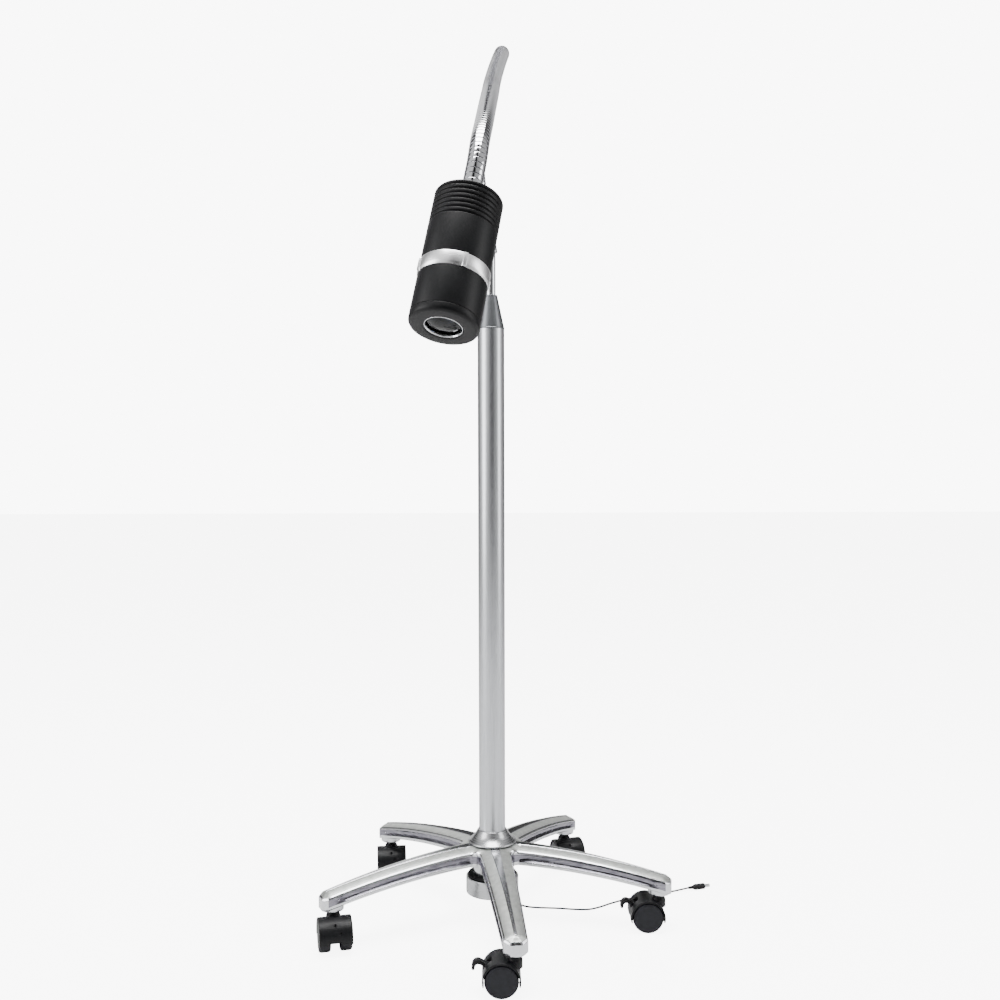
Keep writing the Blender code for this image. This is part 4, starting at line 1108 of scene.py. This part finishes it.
# %% Finishes of the model's own pieces
INSIDE = {
    "driver_board": BOARD_GREEN,
    "led_board": BOARD_GREEN,
    "led_emitter": PHOSPHOR,
    "led_heatsink": RING_METAL,
    "condenser_carrier": BLACK_ANODISED,
    "condenser_lens": OPTICAL_GLASS,
    "tie_bolt": STEEL,
    "pole_foot_plug": STEEL,
}
for number in range(1, LEGS + 1):
    INSIDE[f"castor_{number}_stem"] = STEEL
    INSIDE[f"castor_{number}_axle"] = STEEL
for node, look in INSIDE.items():
    owned = frame["nodes"][node]
    owned.data.materials.clear()
    owned.data.materials.append(look)
print("finished", len(INSIDE), "of the model's own pieces")

# %% [markdown]
# ## Floor and light
#
# Bright metal shows its surroundings more than itself, so the surroundings are built like a small
# studio: a pale floor, large soft panels left and right, and a darker gap behind the camera. The
# gap is what gives chrome its dark middle line. The view behind the lamp is plain white.

# %% Floor
floor_build = bmesh.new()
FLOOR_HALF = 12
for x, y in ((-1, -1), (1, -1), (1, 1), (-1, 1)):
    floor_build.verts.new((x * FLOOR_HALF, y * FLOOR_HALF, 0))
floor_build.verts.ensure_lookup_table()
floor_build.faces.new(floor_build.verts)
floor_mesh = bpy.data.meshes.new("floor")
floor_build.to_mesh(floor_mesh)
floor_build.free()
floor = link("floor", floor_mesh)
paint = material("floor_white", "#E4E4E4", 0.9, 0.0)
paint_tree = paint.node_tree
paint_shader = paint_tree.nodes["Principled BSDF"]
# Seen directly, the floor gets a glow that keeps it pale to its far edge; what it lights is unchanged.
paint_shader.inputs["Emission Color"].default_value = (1, 1, 1, 1)
direct = add(paint_tree, "ShaderNodeLightPath").outputs["Is Camera Ray"]
glow = add(paint_tree, "ShaderNodeMath", {"operation": "MULTIPLY"}, {0: direct, 1: 7.0}).outputs[0]
paint_tree.links.new(glow, paint_shader.inputs["Emission Strength"])
floor_mesh.materials.append(paint)

# %% Light


def panel(name, at, aim, size, power):
    light = bpy.data.lights.new(name, "AREA")
    light.shape = "RECTANGLE"
    light.size, light.size_y = size
    light.energy = power
    made = link(name, light)
    way = Vector(aim) - Vector(at)
    made.matrix_world = Matrix.Translation(at) @ way.to_track_quat("-Z", "Y").to_matrix().to_4x4()


panel("panel_left", (-2.6, -1.2, 1.5), (0, -0.2, 0.6), (1.6, 2.4), 75)
panel("panel_right", (2.8, -0.8, 1.4), (0, -0.2, 0.6), (1.2, 2.4), 38)
panel("panel_top", (0, -0.3, 3.2), (0, -0.1, 0), (1.7, 1.7), 150)

world = bpy.data.worlds.new("studio")
bpy.context.scene.world = world
world.use_nodes = True
sky = world.node_tree
sky.nodes.clear()
way = add(sky, "ShaderNodeTexCoord").outputs["Generated"]
parts = add(sky, "ShaderNodeSeparateXYZ", None, {0: way})
back = add(sky, "ShaderNodeMath", {"operation": "MULTIPLY"}, {0: parts.outputs[1], 1: -1.0}).outputs[0]
bearing = add(sky, "ShaderNodeMath", {"operation": "ARCTAN2"}, {0: parts.outputs[0], 1: back}).outputs[0]
share = add(sky, "ShaderNodeMath", {"operation": "MULTIPLY_ADD"},
            {0: bearing, 1: 1 / math.tau, 2: 0.5}).outputs[0]
ramp = add(sky, "ShaderNodeValToRGB", None, {0: share})
# Brightness of the room by bearing: 0.5 is behind the camera, 0.25 the left, 0.75 the right, and
# both ends are behind the lamp, where a narrow gap darkens the outer edges of bright metal.
ROOM = [(0.0, 0.04), (0.016, 0.04), (0.028, 1.35), (0.075, 1.2), (0.09, 0.12), (0.15, 0.12), (0.2, 0.85),
        (0.4, 0.95), (0.455, 0.5), (0.475, 0.03), (0.555, 0.02), (0.575, 0.4), (0.72, 0.6), (0.82, 0.5),
        (0.86, 0.12),
        (0.92, 0.12), (0.935, 0.75), (0.968, 0.75), (0.984, 0.04), (1.0, 0.04)]
stops = ramp.color_ramp.elements
while len(stops) < len(ROOM):
    stops.new(0.5)
for stop, (position, value) in zip(stops, ROOM):
    stop.position = position
    stop.color = (value, value, value, 1)
seen = add(sky, "ShaderNodeLightPath").outputs["Is Camera Ray"]
room = add(sky, "ShaderNodeBackground", None, {"Color": ramp.outputs[0], "Strength": 1.0}).outputs[0]
plain = add(sky, "ShaderNodeBackground", None, {"Color": (1, 1, 1, 1), "Strength": 9.0}).outputs[0]
both = add(sky, "ShaderNodeMixShader", None, {0: seen, 1: room, 2: plain}).outputs[0]
add(sky, "ShaderNodeOutputWorld", None, {"Surface": both})
print("floor and light set")
